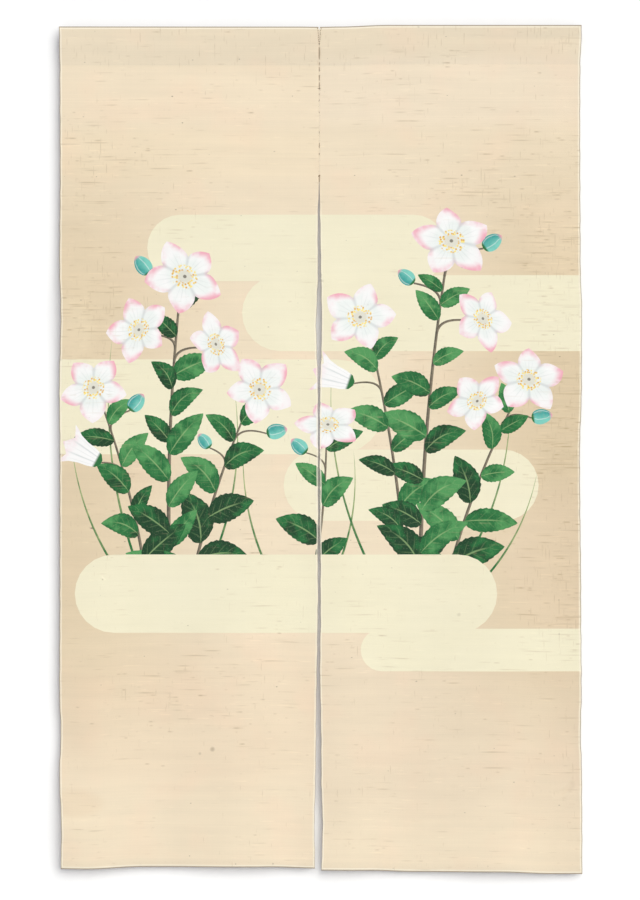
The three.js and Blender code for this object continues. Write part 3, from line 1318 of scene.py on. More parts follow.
def slubbed_weave(cloth):
    """Node group of the hand-spun plain weave: its tone, its thick threads, its specks and its relief."""
    sketch, _, out = new_group(
        "slubbed weave", {}, {"Tone": "Float", "Slub": "Float", "Speck": "Float", "Relief": "Float"})
    cut = sketch.map("cut")
    across, straight, _ = sketch.split(cut)
    wander = sketch.centred(sketch.noise(cut, WANDER_SCALE, SOFT))
    along = sketch.total(straight, sketch.product(wander, WANDER))
    crowd = sketch.product(sketch.centred(sketch.noise(cut, CROWD_SCALE, SOFT)), CROWD_UNEVEN)
    for row in CROWDS:
        near = sketch.fade(sketch.apart(cut, on_bolt(row), row.wide, row.high), 1.0, 0.0)
        crowd = sketch.total(crowd, sketch.product(near, row.strength))
    long = streaks(sketch, across, along, LONG_SLUBS, crowd)
    short = streaks(sketch, across, along, SHORT_SLUBS, crowd)
    pale = streaks(sketch, across, along, PALE_THREADS, crowd)
    ticks = sketch.total(crowd, sketch.product(in_sleeve(sketch, straight), SLEEVE_CROWD))
    upright = streaks(sketch, along, across, UPRIGHT_SLUBS, ticks)
    stretched = sketch.place(sketch.product(across, BAR_STRETCH), along)
    beat = math.pi / cloth.thread
    weft, warp = (sketch.math("FLOOR", sketch.math("DIVIDE", way, cloth.thread)) for way in (along, across))
    crests = [sketch.math("COSINE", sketch.product(way, beat)) for way in (across, along)]
    parts = {
        "weft": sketch.centred(sketch.chance(weft)),
        "warp": sketch.centred(sketch.chance(warp)),
        "bars": sketch.centred(sketch.noise(stretched, BAR_SCALE, FINE)),
        "blotch": sketch.centred(sketch.noise(cut, BLOTCH_SCALE, FINE)),
        "pale": pale,
        "crossing": sketch.product(*crests),
    }
    speck = specks(sketch, sketch.place(sketch.product(across, SPECK_STRETCH), along))
    for row in SPOTS:
        near = sketch.fade(sketch.apart(cut, on_bolt(row), row.radius, row.radius), 1.0, SPOT_SOFT)
        speck = sketch.greatest(speck, sketch.product(near, row.strength))
    slub = sketch.greatest(
        sketch.product(long, LONG_DEPTH), short, sketch.product(upright, UPRIGHT_DEPTH))
    sketch.fill(out, {
        "Tone": sketch.total(1.0, sketch.weighted(parts, TONES)),
        "Slub": slub,
        "Speck": speck,
        "Relief": sketch.weighted(parts, RELIEFS),
    })
    return sketch.tree


def flank_share(sketch):
    """How deep the dye is beside the design, by the place on the hanging curtain."""
    x, _, z = sketch.split(sketch.object_place())
    beside = sketch.fade(sketch.size(x), *FLANK_ACROSS)
    right_more = sketch.between(FLANK_LEFT, 1.0, sketch.fade(x, -FLANK_TURN, FLANK_TURN))
    return sketch.product(sketch.fade(z, *FLANK_TOP), sketch.fade(z, *FLANK_FOOT), beside, right_more)


def dyed_ground(sketch, cloth, cut, along):
    """Colour of the dyed cloth: warm patches, deep flanks, uneven dye, and painted shade on sleeve and hem.
    """
    warm = sketch.fade(sketch.noise(cut, WARM_SCALE, SOFT), *WARM_PATCHES)
    ground = sketch.mix(warm, cloth.hemp, cloth.warm)
    ground = sketch.mix(flank_share(sketch), ground, cloth.flank)
    for row in TINTS:
        near = sketch.fade(sketch.apart(cut, on_bolt(row), row.wide, row.high), 1.0, TINT_SOFT)
        ground = sketch.mix(near, ground, row.colour, "MULTIPLY")
    # Painted shade on sleeve and hem, where two layers let less light through than one.
    hem = sketch.fade(along, *(CUT_DROP - HEM + shift for shift in HEM_BLUR))
    doubled = sketch.greatest(in_sleeve(sketch, along), sketch.product(hem, HEM_SHADE))
    return sketch.mix(doubled, ground, cloth.doubled, "MULTIPLY")


def edge_bands(sketch, lane, along):
    """Masks of pale selvedge threads with a painted highlight, and of painted shade, along edges and folds.
    """
    across = sketch.math("FRACT", sketch.math("DIVIDE", lane, BOLT_SHIFT))
    from_foot = sketch.size(sketch.math("SUBTRACT", along, CUT_DROP))
    from_fold = sketch.math("MINIMUM", sketch.size(along), from_foot)
    from_rim = sketch.math("MINIMUM", from_fold, sketch.math("SUBTRACT", CUT_WIDTH, across))
    slit = sketch.fade(along, SEAM_END, SEAM_END + SLIT_BLUR)
    rim_highlight = sketch.product(sketch.fade(from_rim, *RIM_INNER), sketch.fade(from_rim, *RIM_OUTER))
    slit_highlight = sketch.product(sketch.fade(across, *SLIT_INNER), sketch.fade(across, *SLIT_OUTER), slit)
    slit_shade = sketch.product(sketch.fade(across, *SLIT_SHADE), slit)
    return sketch.greatest(rim_highlight, slit_highlight), sketch.greatest(sketch.fade(from_rim, *RIM_SHADE), slit_shade)


def painted_hemp(cloth):
    """Node group that lays a paint over the dyed hemp ground, fainter on the reverse of the cloth."""
    sketch, into, out = new_group(
        "painted hemp", {"Paint": "Color", "Cover": "Float", "Hiding": "Float"},
        {"Colour": "Color", "Roughness": "Float", "Relief": "Float"})
    thread = sketch.add("ShaderNodeGroup", node_tree=slubbed_weave(cloth)).outputs
    cut = sketch.map("cut")
    lane, along, _ = sketch.split(cut)
    selvedge, rolled = edge_bands(sketch, lane, along)
    reverse = sketch.between(1.0, SHOW_THROUGH, sketch.attribute("reverse"))
    resist = sketch.between(1.0, SLUB_COVER, thread["Slub"])
    bare = sketch.math("SUBTRACT", 1.0, sketch.product(into["Cover"], into["Hiding"]))
    uneven = sketch.between(1.0, PAINT_TONE, into["Cover"])
    ground = dyed_ground(sketch, cloth, cut, along)
    colour = sketch.mix(sketch.product(into["Cover"], reverse, resist), ground, into["Paint"])
    # Pale selvedge threads with a painted highlight, then painted shade along the outer edges.
    colour = sketch.mix(sketch.product(selvedge, SELVEDGE_HIGHLIGHT_SHARE), colour, cloth.selvedge)
    colour = sketch.mix(sketch.product(rolled, EDGE_SHADE_SHARE), colour, cloth.rolled)
    colour = sketch.mix(uneven, colour, sketch.grey(thread["Tone"]), "MULTIPLY")
    colour = sketch.mix(sketch.product(thread["Slub"], bare, SLUB_SHARE), colour, cloth.slub)
    colour = sketch.mix(sketch.product(thread["Speck"], bare, SPECK_TINT), colour, cloth.speck)
    roughness = sketch.between(HEMP_ROUGHNESS, SLUB_ROUGHNESS, thread["Slub"])
    sketch.fill(out, {"Colour": colour, "Roughness": roughness, "Relief": thread["Relief"]})
    return sketch.tree


# The paints

# Scale of the wash in each paint.
WASHES = {"leaf": 50.0, "petal": 40.0, "blush": 30.0, "bell": 60.0, "bud": 80.0, "grass": 60.0, "stem": 110.0}
MIST_SCALE = 7.0

# Cover of the paints, and how a dry brush skips some of the thread tops.
FULL_COVER = 0.97
DRY_COVER = 0.98
DRY_SKIP = 0.10
DRY_SCALE = 420.0
DRY_RANGE = (0.10, 0.26)

# Places across a round form, from its shaded side to its lit one.
ROUNDED = (-0.9, 0.9)

# Leaves: what thins the wash, the ranges from colour to colour, and the ribs.
LEAF_DEPTH = {"own": 0.95, "along": 0.55, "lit": 0.14, "wash": 1.4, "edge": -0.14}
LEAF_LIT = (-0.25, 0.25)
LEAF_EDGE = (0.80, 1.0)
LEAF_MIDDLE = (0.05, 0.60)
LEAF_THIN = (0.60, 1.15)
RIBS = 6.0
RIB_SLANT = 1.3
RIB_LINE = (0.13, 0.03)
RIB_REACH = (0.95, 0.4)
RIB_SHARE = 0.14
MIDRIB_LINE = (0.080, 0.03)
MIDRIB_REACH = (0.85, 0.45)
MIDRIB_SHARE = 0.60

# Open flowers, by the share of the radius, and across each half petal from its middle to the notch.
PETAL_THIN = (0.75, 0.30)
PETAL_WASH = 0.8
BLUSH_RIM = (0.70, 1.0)
BLUSH_RANGE = (-0.14, 0.16)
BLUSH_LEAST = 0.10
BLUSH_MOST = 0.90
PETAL_CREASE = (0.74, 1.0)
PETAL_CREASE_ALONG = (0.10, 0.28)
PETAL_CREASE_SHARE = 0.60
SIDE_VEIN_OFF = 0.34
PETAL_VEIN = (0.06, 0.02)
SIDE_VEIN = (0.05, 0.01)
SIDE_VEIN_SHARE = 0.7
PETAL_VEIN_ALONG = (0.80, 0.40)
PETAL_VEIN_SHARE = 0.30
THROAT = (0.26, 0.12)
EYE = (0.055, 0.035)
MIDDLE_SHARE = 0.8

# Dots of pollen around the middle of an open flower.
STAMEN_CELL = 0.075
STAMEN_SHIFT = 40.0
STAMEN_INNER = (0.14, 0.19)
STAMEN_OUTER = (0.35, 0.30)
STAMEN_DOT = (0.46, 0.26)
STAMEN_PALE = (0.3, 0.7)

# Bells, by the share of the length, and across lanes that meet at the creases.
BELL_LANES = 1.5
BELL_BLUSH = (0.62, 1.0)
BELL_BLUSH_MIDDLE = 0.4
BELL_BLUSH_WASH = 1.6
BELL_CREASE = (0.36, 0.50)
BELL_CREASE_ALONG = (0.95, 0.5)
BELL_CREASE_SHARE = 0.70
BELL_VEIN = (0.05, 0.02)
BELL_VEIN_ALONG = (0.9, 0.4)
BELL_VEIN_SHARE = 0.35
BELL_CUP = (0.17, 0.10)

# Buds, by the share of the length, and across lanes with a rib in the middle of each.
BUD_LANES = 0.9
BUD_LANE_SHIFT = 0.2
BUD_WASH = 0.9
BUD_RIB = (0.09, 0.03)
BUD_RIB_SHARE = 0.35
BUD_TIP = (0.82, 1.0)
BUD_CUP = (0.16, 0.08)

# Grasses and stems.
GRASS_PALING = (0.1, 1.1)
GRASS_ROUND = 0.12
STEM_WASH = 1.6


def wash(sketch, scale):
    """Uneven depth of a wash, about 0 in the middle."""
    return sketch.centred(sketch.noise(sketch.map("cut"), scale, FINE))


def from_lane(sketch, place):
    """Distance from the middle of a lane, where each lane is 1 wide."""
    return sketch.size(sketch.centred(sketch.math("FRACT", place)))


def dry_brush(sketch):
    """Cover of a paint that skips some of the thread tops."""
    skipped = sketch.fade(wash(sketch, DRY_SCALE), *DRY_RANGE)
    return sketch.between(DRY_COVER, DRY_COVER - DRY_SKIP, skipped)


def mist_paint(sketch, paints):
    """Pale mist with deeper clouds."""
    return sketch.mix(sketch.noise(sketch.map("cut"), MIST_SCALE, FINE), paints.mist, paints.mist_deep)


def grass_paint(sketch, paints):
    """Green that pales towards the tip."""
    along, across, _ = sketch.split(sketch.map("motif"))
    depth = sketch.total(along, wash(sketch, WASHES["grass"]), sketch.product(across, GRASS_ROUND))
    return sketch.mix(sketch.fade(depth, *GRASS_PALING), paints.leaf_mid, paints.grass_tip)


def stem_paint(sketch, paints):
    """Brown, lighter along one side."""
    _, across, _ = sketch.split(sketch.map("motif"))
    uneven = sketch.product(wash(sketch, WASHES["stem"]), STEM_WASH)
    return sketch.mix(sketch.total(sketch.fade(across, *ROUNDED), uneven), paints.stem_dark, paints.stem)


def leaf_paint(sketch, paints):
    """Green washes that thin towards the tip, with paler ribs."""
    along, across, _ = sketch.split(sketch.map("motif"))
    wide = sketch.size(across)
    parts = {
        "own": sketch.attribute("shade"),
        "along": sketch.centred(along),
        "lit": sketch.fade(across, *LEAF_LIT),
        "wash": wash(sketch, WASHES["leaf"]),
        "edge": sketch.fade(wide, *LEAF_EDGE),
    }
    depth = sketch.weighted(parts, LEAF_DEPTH)
    colour = sketch.mix(sketch.fade(depth, *LEAF_MIDDLE), paints.leaf_dark, paints.leaf_mid)
    colour = sketch.mix(sketch.fade(depth, *LEAF_THIN), colour, paints.leaf_light)
    slanted = sketch.math("SUBTRACT", sketch.product(along, RIBS), sketch.product(wide, RIB_SLANT))
    rib = sketch.fade(from_lane(sketch, slanted), *RIB_LINE)
    side_rib = sketch.product(rib, sketch.fade(wide, *RIB_REACH), RIB_SHARE)
    midrib = sketch.product(
        sketch.fade(wide, *MIDRIB_LINE), sketch.fade(along, *MIDRIB_REACH), MIDRIB_SHARE)
    return sketch.mix(sketch.greatest(side_rib, midrib), colour, paints.leaf_vein)


def bud_paint(sketch, paints):
    """Blue-green, lighter along one side, with pale ribs, a blush at the tip and a green cup."""
    along, across, _ = sketch.split(sketch.map("motif"))
    uneven = sketch.product(wash(sketch, WASHES["bud"]), BUD_WASH)
    colour = sketch.mix(sketch.total(sketch.fade(across, *ROUNDED), uneven), paints.bud_dark, paints.bud)
    lane = from_lane(sketch, sketch.total(sketch.product(across, BUD_LANES), BUD_LANE_SHIFT))
    rib = sketch.product(sketch.fade(lane, *BUD_RIB), BUD_RIB_SHARE)
    colour = sketch.mix(rib, colour, paints.petal)
    colour = sketch.mix(sketch.fade(along, *BUD_TIP), colour, paints.blush)
    return sketch.mix(sketch.fade(along, *BUD_CUP), colour, paints.leaf_mid)


def stamens(sketch, x, y, radius):
    """Masks of the dots of pollen around the middle of a flower, and of the paler ones among them."""
    shift = sketch.product(sketch.attribute("shade"), STAMEN_SHIFT)
    spot = sketch.place(sketch.total(x, shift), sketch.total(y, shift))
    distance, chance = sketch.cells(spot, STAMEN_CELL)
    ring = sketch.product(sketch.fade(radius, *STAMEN_INNER), sketch.fade(radius, *STAMEN_OUTER))
    dots = sketch.product(sketch.fade(distance, *STAMEN_DOT), ring)
    return dots, sketch.fade(chance[0], *STAMEN_PALE)


def petal_blush(sketch, radius, off):
    """Share of pink along the rim of an open flower."""
    point = sketch.math("POWER", sketch.math("SUBTRACT", 1.0, off), PETAL_POINT)
    rim = sketch.math("DIVIDE", radius, sketch.between(PETAL_NOTCH, 1.0, point))
    uneven = sketch.fade(wash(sketch, WASHES["blush"]), *BLUSH_RANGE)
    return sketch.product(sketch.fade(rim, *BLUSH_RIM), sketch.between(BLUSH_LEAST, BLUSH_MOST, uneven))


def petal_lines(sketch, radius, off):
    """Share of shade in the creases between petals and in the veins along each."""
    crease = sketch.product(
        sketch.fade(off, *PETAL_CREASE), sketch.fade(radius, *PETAL_CREASE_ALONG), PETAL_CREASE_SHARE)
    beside = sketch.size(sketch.math("SUBTRACT", off, SIDE_VEIN_OFF))
    side_vein = sketch.product(sketch.fade(beside, *SIDE_VEIN), SIDE_VEIN_SHARE)
    vein = sketch.product(
        sketch.greatest(sketch.fade(off, *PETAL_VEIN), side_vein),
        sketch.fade(radius, *PETAL_VEIN_ALONG), PETAL_VEIN_SHARE)
    return sketch.greatest(crease, vein)


def petal_paint(sketch, paints):
    """White with a pink rim, shaded creases and veins, and pollen around the middle."""
    spot = sketch.map("motif")
    x, y, _ = sketch.split(spot)
    radius = sketch.apart(spot, (0, 0), 1, 1)
    turns = sketch.product(sketch.math("ARCTAN2", y, x), PETALS / math.tau)
    off = sketch.product(sketch.size(sketch.math("SUBTRACT", turns, sketch.math("ROUND", turns))), 2.0)
    thin = sketch.total(radius, sketch.product(wash(sketch, WASHES["petal"]), PETAL_WASH))
    colour = sketch.mix(sketch.fade(thin, *PETAL_THIN), paints.petal, paints.petal_cool)
    colour = sketch.mix(petal_blush(sketch, radius, off), colour, paints.blush)
    colour = sketch.mix(petal_lines(sketch, radius, off), colour, paints.petal_shade)
    colour = sketch.mix(sketch.product(sketch.fade(radius, *THROAT), MIDDLE_SHARE), colour, paints.throat)
    dots, pale = stamens(sketch, x, y, radius)
    colour = sketch.mix(dots, colour, sketch.mix(pale, paints.pollen, paints.pollen_pale))
    return sketch.mix(sketch.product(sketch.fade(radius, *EYE), MIDDLE_SHARE), colour, paints.stem_dark)


def bell_paint(sketch, paints):
    """White with a pink mouth, shaded creases and veins, and a green cup."""
    along, across, _ = sketch.split(sketch.map("motif"))
    uneven = sketch.math("MULTIPLY_ADD", wash(sketch, WASHES["bell"]), BELL_BLUSH_WASH, BELL_BLUSH_MIDDLE)
    blush = sketch.product(sketch.fade(along, *BELL_BLUSH), uneven)
    colour = sketch.mix(blush, paints.petal, paints.blush)
    lane = from_lane(sketch, sketch.total(sketch.product(across, BELL_LANES), 0.5))
    crease = sketch.product(
        sketch.fade(lane, *BELL_CREASE), sketch.fade(along, *BELL_CREASE_ALONG), BELL_CREASE_SHARE)
    vein = sketch.product(
        sketch.fade(lane, *BELL_VEIN), sketch.fade(along, *BELL_VEIN_ALONG), BELL_VEIN_SHARE)
    colour = sketch.mix(sketch.greatest(crease, vein), colour, paints.petal_shade)
    return sketch.mix(sketch.fade(along, *BELL_CUP), colour, paints.leaf_mid)


# Materials

# How each paint is laid on: its colours, whether the brush is dry, and how far it hides the threads.
FINISHES = {
    "mist": Finish(mist_paint, False, 0.35),
    "grass": Finish(grass_paint, True, 0.6),
    "stem": Finish(stem_paint, True, 0.6),
    "leaf": Finish(leaf_paint, True, 0.6),
    "bud": Finish(bud_paint, True, 0.6),
    "petal": Finish(petal_paint, False, 0.7),
    "bell": Finish(bell_paint, False, 0.7),
}


def cloth_material(name, hemp, settings):
    """A material of hemp, bare or under one of the paints."""
    material, sketch, shader = new_material(f"hemp {name}")
    ground = sketch.add("ShaderNodeGroup", node_tree=hemp)
    if name in FINISHES:
        finish = FINISHES[name]
        sketch.fill(ground, {
            "Paint": finish.paint(sketch, settings.paints),
            "Cover": dry_brush(sketch) if finish.dry else FULL_COVER,
            "Hiding": finish.hiding,
        })
    sketch.fill(shader, {
        "Base Color": ground.outputs["Colour"],
        "Roughness": ground.outputs["Roughness"],
        "Normal": sketch.bump(ground.outputs["Relief"], settings.cloth.relief, HEMP_BUMP),
        "Specular IOR Level": HEMP_SPECULAR,
        "Sheen Weight": HEMP_SHEEN,
        "Sheen Roughness": SHEEN_ROUGHNESS,
    })
    return material


def cloth_materials(settings):
    """The materials of the panels, in the order of PAINTS."""
    hemp = painted_hemp(settings.cloth)
    return [cloth_material(name, hemp, settings) for name in PAINTS]


def thread_material(name, light, ply_shade, ply_length):
    """Matt two-ply sewing thread, with painted shade in the grooves between its plies."""
    material, sketch, shader = new_material(name)
    x, _, z = sketch.split(sketch.object_place())
    ply = sketch.math("SINE", sketch.product(sketch.total(x, z), math.tau / ply_length))
    share = sketch.math("MULTIPLY_ADD", ply, PLY_SWING, 0.5)
    sketch.fill(shader, {
        # The darker colour follows the bump's grooves between the plies: painted shade.
        "Base Color": sketch.mix(share, ply_shade, light),
        "Roughness": THREAD_ROUGHNESS,
        "Normal": sketch.bump(ply, PLY_RELIEF),
    })
    return material


# Stage

WALL_SIZE = 2.4
FLOOR_SIZE = 12.0
PALE = srgb(255, 255, 255)
FLOOR_TONE = srgb(232, 232, 232)
GRAIN = 0.985
GRAIN_SCALE = 40.0
ROOM_TONE = srgb(226, 226, 228)
SKY_TINT = srgb(232, 234, 255)
KEY_TINT = (1.0, 0.994, 0.930)
KEY_SIZE = 66.0
BACK_SIZE = 4.0
SENSOR = 24.0
CLIP_END = 100.0

# Places of the lights, from the middle of the picture.
KEY_PLACE = Vector((20.0, -48.0, 24.0))
BACK_PLACE = Vector((-3.0, 7.0, 3.0))


def pale_material(name, tone, one_sided):
    """Matt paint with a faint grain. A one-sided one is clear from behind."""
    material, sketch, shader = new_material(name)
    grain = sketch.noise(sketch.object_place(), GRAIN_SCALE, FINE)
    sketch.fill(shader, {
        "Base Color": sketch.mix(grain, tone, [GRAIN * value for value in tone]),
        "Roughness": 1.0,
        "Specular IOR Level": 0.0,
    })
    if one_sided:
        behind = sketch.add("ShaderNodeNewGeometry").outputs["Backfacing"]
        surface = sketch.choose(behind, shader, sketch.add("ShaderNodeBsdfTransparent"))
        sketch.fill(sketch.tree.nodes["Material Output"], {"Surface": surface})
    return material


def set_plane(name, size, location, rotation, material):
    """A flat piece of the stage."""
    bpy.ops.object.select_all(action="DESELECT")
    bpy.ops.mesh.primitive_plane_add(size=size, location=location, rotation=rotation)
    plane = bpy.context.object
    plane.name = name
    bpy.ops.object.transform_apply(location=True, rotation=True, scale=True)
    plane.data.materials.append(material)
    return plane


def set_wall(stage):
    """A pale wall close behind the curtain. It shows from the front only, and shades nothing."""
    material = pale_material("pale wall", PALE, True)
    middle = (0, stage.wall, stage.floor + WALL_SIZE / 2)
    wall = set_plane("wall", WALL_SIZE, middle, (math.pi / 2, 0, 0), material)
    wall.visible_shadow = False
    wall.visible_diffuse = False
    wall.visible_glossy = False


def set_floor(stage):
    """A pale floor below the curtain."""
    material = pale_material("pale floor", FLOOR_TONE, False)
    set_plane("floor", FLOOR_SIZE, (0, 0, stage.floor), (0, 0, 0), material)


def add_soft_light(name, power, size, place, target):
    """A round light that faces its target."""
    bpy.ops.object.light_add(type="AREA", location=place)
    light = bpy.context.object
    light.name = name
    light.data.energy = power
    light.data.shape = "DISK"
    light.data.size = size
    light.rotation_euler = (target - place).to_track_quat("-Z", "Y").to_euler()
    return light


def set_room(context, stage):
    """Even light from all round, and the plain tone that shows beyond the wall and floor."""
    world = bpy.data.worlds.new("soft room")
    world.use_nodes = True
    sketch = Sketch(world.node_tree)
    sky = world.node_tree.nodes["Background"]
    sketch.fill(sky, {"Color": SKY_TINT, "Strength": stage.sky})
    room = sketch.fill(sketch.add("ShaderNodeBackground"), {"Color": ROOM_TONE})
    seen = sketch.add("ShaderNodeLightPath").outputs["Is Camera Ray"]
    sketch.fill(world.node_tree.nodes["World Output"], {"Surface": sketch.choose(seen, sky, room)})
    context.scene.world = world


def set_light(stage):
    """A wide light in front, and a small one behind whose light doesn't bounce."""
    middle = Vector((0, 0, stage.middle))
    key = add_soft_light("key light", stage.key, KEY_SIZE, middle + KEY_PLACE, middle)
    key.data.color = KEY_TINT
    back = add_soft_light("back light", stage.back, BACK_SIZE, middle + BACK_PLACE, middle)
    back.data.cycles.max_bounces = 0


def set_camera(context, stage):
    """A camera face on to the curtain."""
    place = Vector((stage.aside, -stage.distance, stage.middle))
    bpy.ops.object.camera_add(location=place, rotation=(math.pi / 2, 0, 0))
    camera = bpy.context.object
    camera.name = "camera"
    camera.data.sensor_fit = "VERTICAL"
    camera.data.sensor_height = SENSOR
    camera.data.lens = SENSOR * stage.distance / stage.view
    camera.data.clip_end = CLIP_END
    context.scene.camera = camera
    context.scene.view_settings.view_transform = "Standard"


# Settings

def length_setting(name, description, default):
    return FloatProperty(name=name, description=description, default=default, unit="LENGTH", precision=5)


def colour_setting(name, description, *default):
    return FloatVectorProperty(
        name=name, description=description, default=srgb(*default), subtype="COLOR", size=3, min=0, max=1)


def power_setting(name, description, default):
    return FloatProperty(name=name, description=description, default=default, unit="POWER")


class NorenCloth(bpy.types.PropertyGroup):
    """Sizes and colours of the hemp."""
    thickness: length_setting("Thickness", "Thickness of one layer of cloth", 0.0005)
    thread: length_setting("Thread pitch", "Distance from thread to thread in the weave", 0.0008)
    relief: length_setting("Relief", "How far threads stand out of the weave", 0.0003)
    hemp: colour_setting("Hemp", "Colour of the single cloth", 234, 218, 191)
    warm: colour_setting("Warm hemp", "Warmer patches of the cloth", 236, 217, 190)
    flank: colour_setting("Flank", "Deeper dye beside the design", 217, 198, 166)
    # Painted shade: two layers let less light through than one, so sleeve and hem are darkened.
    doubled: colour_setting("Doubled", "How two layers of cloth tint the single one", 249, 250, 251)
    # Pale selvedge threads, which also stand for a painted highlight along edges and folds.
    selvedge: colour_setting("Selvedge", "Pale threads along edges and folds", 248, 240, 220)
    # Painted shade along the outer edge of edges and folds.
    rolled: colour_setting("Edge shade", "Shaded outside of edges and folds", 132, 119, 104)
    slub: colour_setting("Slub", "Thick hand-spun places in a thread", 163, 136, 96)
    speck: colour_setting("Speck", "Bits of stalk in the yarn", 117, 100, 75)


class NorenPaints(bpy.types.PropertyGroup):
    """Colours of the painted design."""
    mist: colour_setting("Mist", "Bands of mist", 238, 232, 205)
    mist_deep: colour_setting("Deep mist", "Deeper places in the mist", 235, 228, 198)
    stem: colour_setting("Stem", "Lit side of a stem", 132, 122, 104)
    stem_dark: colour_setting("Dark stem", "Shaded side of a stem", 84, 80, 70)
    leaf_dark: colour_setting("Dark leaf", "Deep wash of a leaf", 6, 62, 36)
    leaf_mid: colour_setting("Leaf", "Middle wash of a leaf", 26, 108, 57)
    leaf_light: colour_setting("Light leaf", "Thin wash of a leaf", 78, 150, 88)
    leaf_vein: colour_setting("Leaf vein", "Ribs of a leaf", 152, 185, 125)
    grass_tip: colour_setting("Grass tip", "Pale tips of the grass", 168, 182, 128)
    petal: colour_setting("Petal", "White of the flowers", 245, 245, 244)
    petal_cool: colour_setting("Cool petal", "Thin white inside a flower", 234, 239, 236)
    petal_shade: colour_setting("Petal shade", "Creases and veins of a petal", 200, 206, 206)
    blush: colour_setting("Blush", "Pink of the petal tips", 236, 156, 176)
    throat: colour_setting("Throat", "Tint around the middle of a flower", 219, 215, 198)
    pollen: colour_setting("Pollen", "Ochre of the stamens", 222, 174, 84)
    pollen_pale: colour_setting("Pale pollen", "Yellow of the stamens", 248, 226, 128)
    bud: colour_setting("Bud", "Lit side of a bud", 124, 204, 190)
    bud_dark: colour_setting("Dark bud", "Shaded side of a bud", 58, 158, 152)


class NorenSewing(bpy.types.PropertyGroup):
    """Sizes and colours of the stitches."""
    thickness: length_setting("Thread", "Thickness of the thread of sleeves and hems", 0.0005)
    seam_thickness: length_setting("Seam thread", "Thickness of the thread of the seam", 0.0008)
    ply: length_setting("Ply", "Length of one turn of the thread's ply", 0.0007)
    seam_step: length_setting("Seam stitch", "Distance between stitches of the seam", 0.0085)
    inset: length_setting("Inset", "Distance of a row of stitches from the sewn edge", 0.0025)
    hem_step: length_setting("Hem stitch", "Distance between stitches of sleeves and hems", 0.0110)
    thread: colour_setting("Thread", "Colour of the thread of sleeves and hems", 229, 213, 185)
    # The darker colours of both threads are painted shade in the grooves between their plies.
    thread_dark: colour_setting("Thread ply shade", "Colour between its plies", 206, 188, 158)
    # A brown thread, dark enough that it also stands in for painted shade in the seam's groove.
    seam_thread: colour_setting("Seam thread", "Colour of the thread of the seam", 150, 120, 84)
    seam_dark: colour_setting("Seam thread ply shade", "Colour between its plies", 108, 84, 58)


class NorenStage(bpy.types.PropertyGroup):
    """Backdrop, floor, light and camera."""
    wall: length_setting("Wall", "Distance of the backdrop behind the seam", 0.0180)
    floor: length_setting("Floor", "Height of the floor below the top edge", -1.80)
    distance: length_setting("Camera distance", "Distance of the camera from the curtain", 6.0)
    view: length_setting("View height", "Height of the picture at the curtain", 1.5174)
    aside: length_setting("Aside", "Middle of the picture across the curtain", 0.0013)
    middle: length_setting("Middle", "Middle of the picture by height", -0.7128)
    sky: FloatProperty(name="Sky", description="Strength of the even light from all round", default=0.325)
    key: power_setting("Key", "Power of the wide light in front", 36500.0)
    back: power_setting("Back", "Power of the light behind", 460.0)


class NorenSettings(bpy.types.PropertyGroup):
    """All settings of the curtain."""
    cloth: PointerProperty(type=NorenCloth)
    paints: PointerProperty(type=NorenPaints)
    sewing: PointerProperty(type=NorenSewing)
    stage: PointerProperty(type=NorenStage)


# Operators

class NOREN_OT_panels(bpy.types.Operator):
    """Hang and paint both panels, each one length of cloth with its sleeve and hem"""
    bl_idname = "noren.panels"
    bl_label = "Hang panels"

    def execute(self, context):
        settings = context.scene.noren
        materials = cloth_materials(settings)
        motifs = design()
        for side in SIDES:
            panel = finished(f"cloth_{side}", panel_mesh(side, motifs), materials)
            thicken(panel, settings.cloth.thickness)
            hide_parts(f"panel_{side}", f"sleeve_{side}")
        return {"FINISHED"}


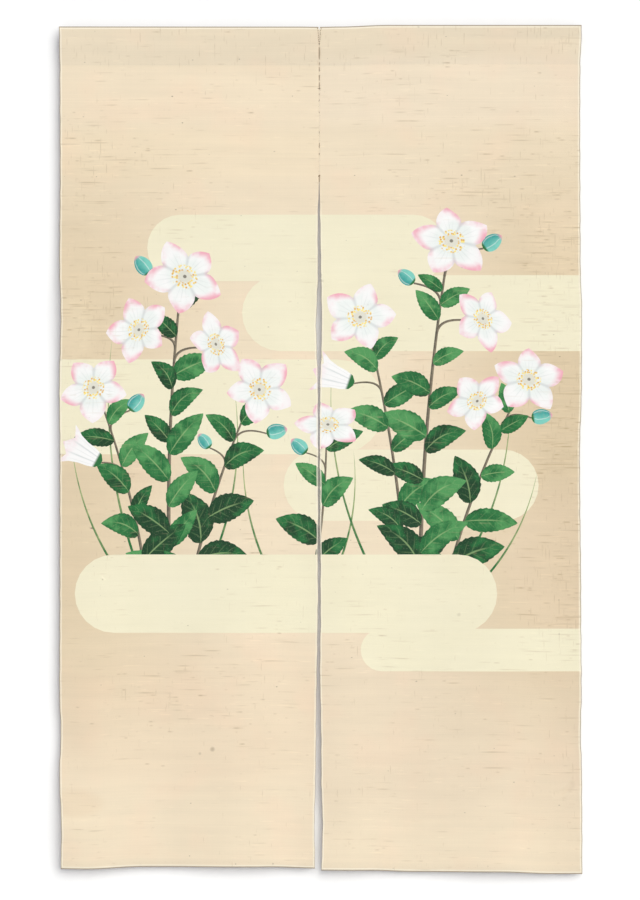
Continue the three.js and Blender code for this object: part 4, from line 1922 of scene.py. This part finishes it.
class NOREN_OT_seam(bpy.types.Operator):
    """Sew the panels together from the top down to the slit"""
    bl_idname = "noren.seam"
    bl_label = "Sew seam"

    def execute(self, context):
        settings = context.scene.noren
        sewing = settings.sewing
        thread = thread_material("seam thread", sewing.seam_thread, sewing.seam_dark, sewing.ply)
        stitches = seam_runs(settings) + seam_head(settings) + seam_stitches(settings)
        sew("seam_stitches", stitches, sewing.seam_thickness, thread)
        return {"FINISHED"}


class NOREN_OT_hems(bpy.types.Operator):
    """Sew down the sleeve and the hem of each panel, in short pricks on the front and long stitches behind"""
    bl_idname = "noren.hems"
    bl_label = "Sew sleeves and hems"

    def execute(self, context):
        settings = context.scene.noren
        sewing = settings.sewing
        thread = thread_material("sewing thread", sewing.thread, sewing.thread_dark, sewing.ply)
        for side in SIDES:
            for name, row in (("sleeve", sleeve_row), ("hem", hem_row)):
                sew(f"{name}_stitches_{side}", row_stitches(side, row, settings), sewing.thickness, thread)
        return {"FINISHED"}


class NOREN_OT_stage(bpy.types.Operator):
    """Set the pale wall and floor, the soft light and the camera"""
    bl_idname = "noren.stage"
    bl_label = "Set stage"

    def execute(self, context):
        stage = context.scene.noren.stage
        set_wall(stage)
        set_floor(stage)
        set_room(context, stage)
        set_light(stage)
        set_camera(context, stage)
        return {"FINISHED"}


# Panel and registration

class NOREN_PT_panel(bpy.types.Panel):
    """Settings and steps of the curtain"""
    bl_idname = "NOREN_PT_panel"
    bl_label = "Noren curtain"
    bl_space_type = "VIEW_3D"
    bl_region_type = "UI"
    bl_category = "Noren"

    def draw(self, context):
        settings = context.scene.noren
        for group in (settings.cloth, settings.paints, settings.sewing, settings.stage):
            box = self.layout.box()
            for name in group.__annotations__:
                box.prop(group, name)
        for operator in STEPS:
            self.layout.operator(operator.bl_idname)


STEPS = (NOREN_OT_seam, NOREN_OT_hems, NOREN_OT_panels, NOREN_OT_stage)
CLASSES = (NorenCloth, NorenPaints, NorenSewing, NorenStage, NorenSettings, *STEPS, NOREN_PT_panel)


def register():
    for kind in CLASSES:
        bpy.utils.register_class(kind)
    bpy.types.Scene.noren = PointerProperty(type=NorenSettings)


def unregister():
    del bpy.types.Scene.noren
    for kind in reversed(CLASSES):
        bpy.utils.unregister_class(kind)


def main():
    register()
    bpy.ops.noren.seam()
    bpy.ops.noren.hems()
    bpy.ops.noren.panels()
    bpy.ops.noren.stage()


if __name__ == "__main__":
    main()
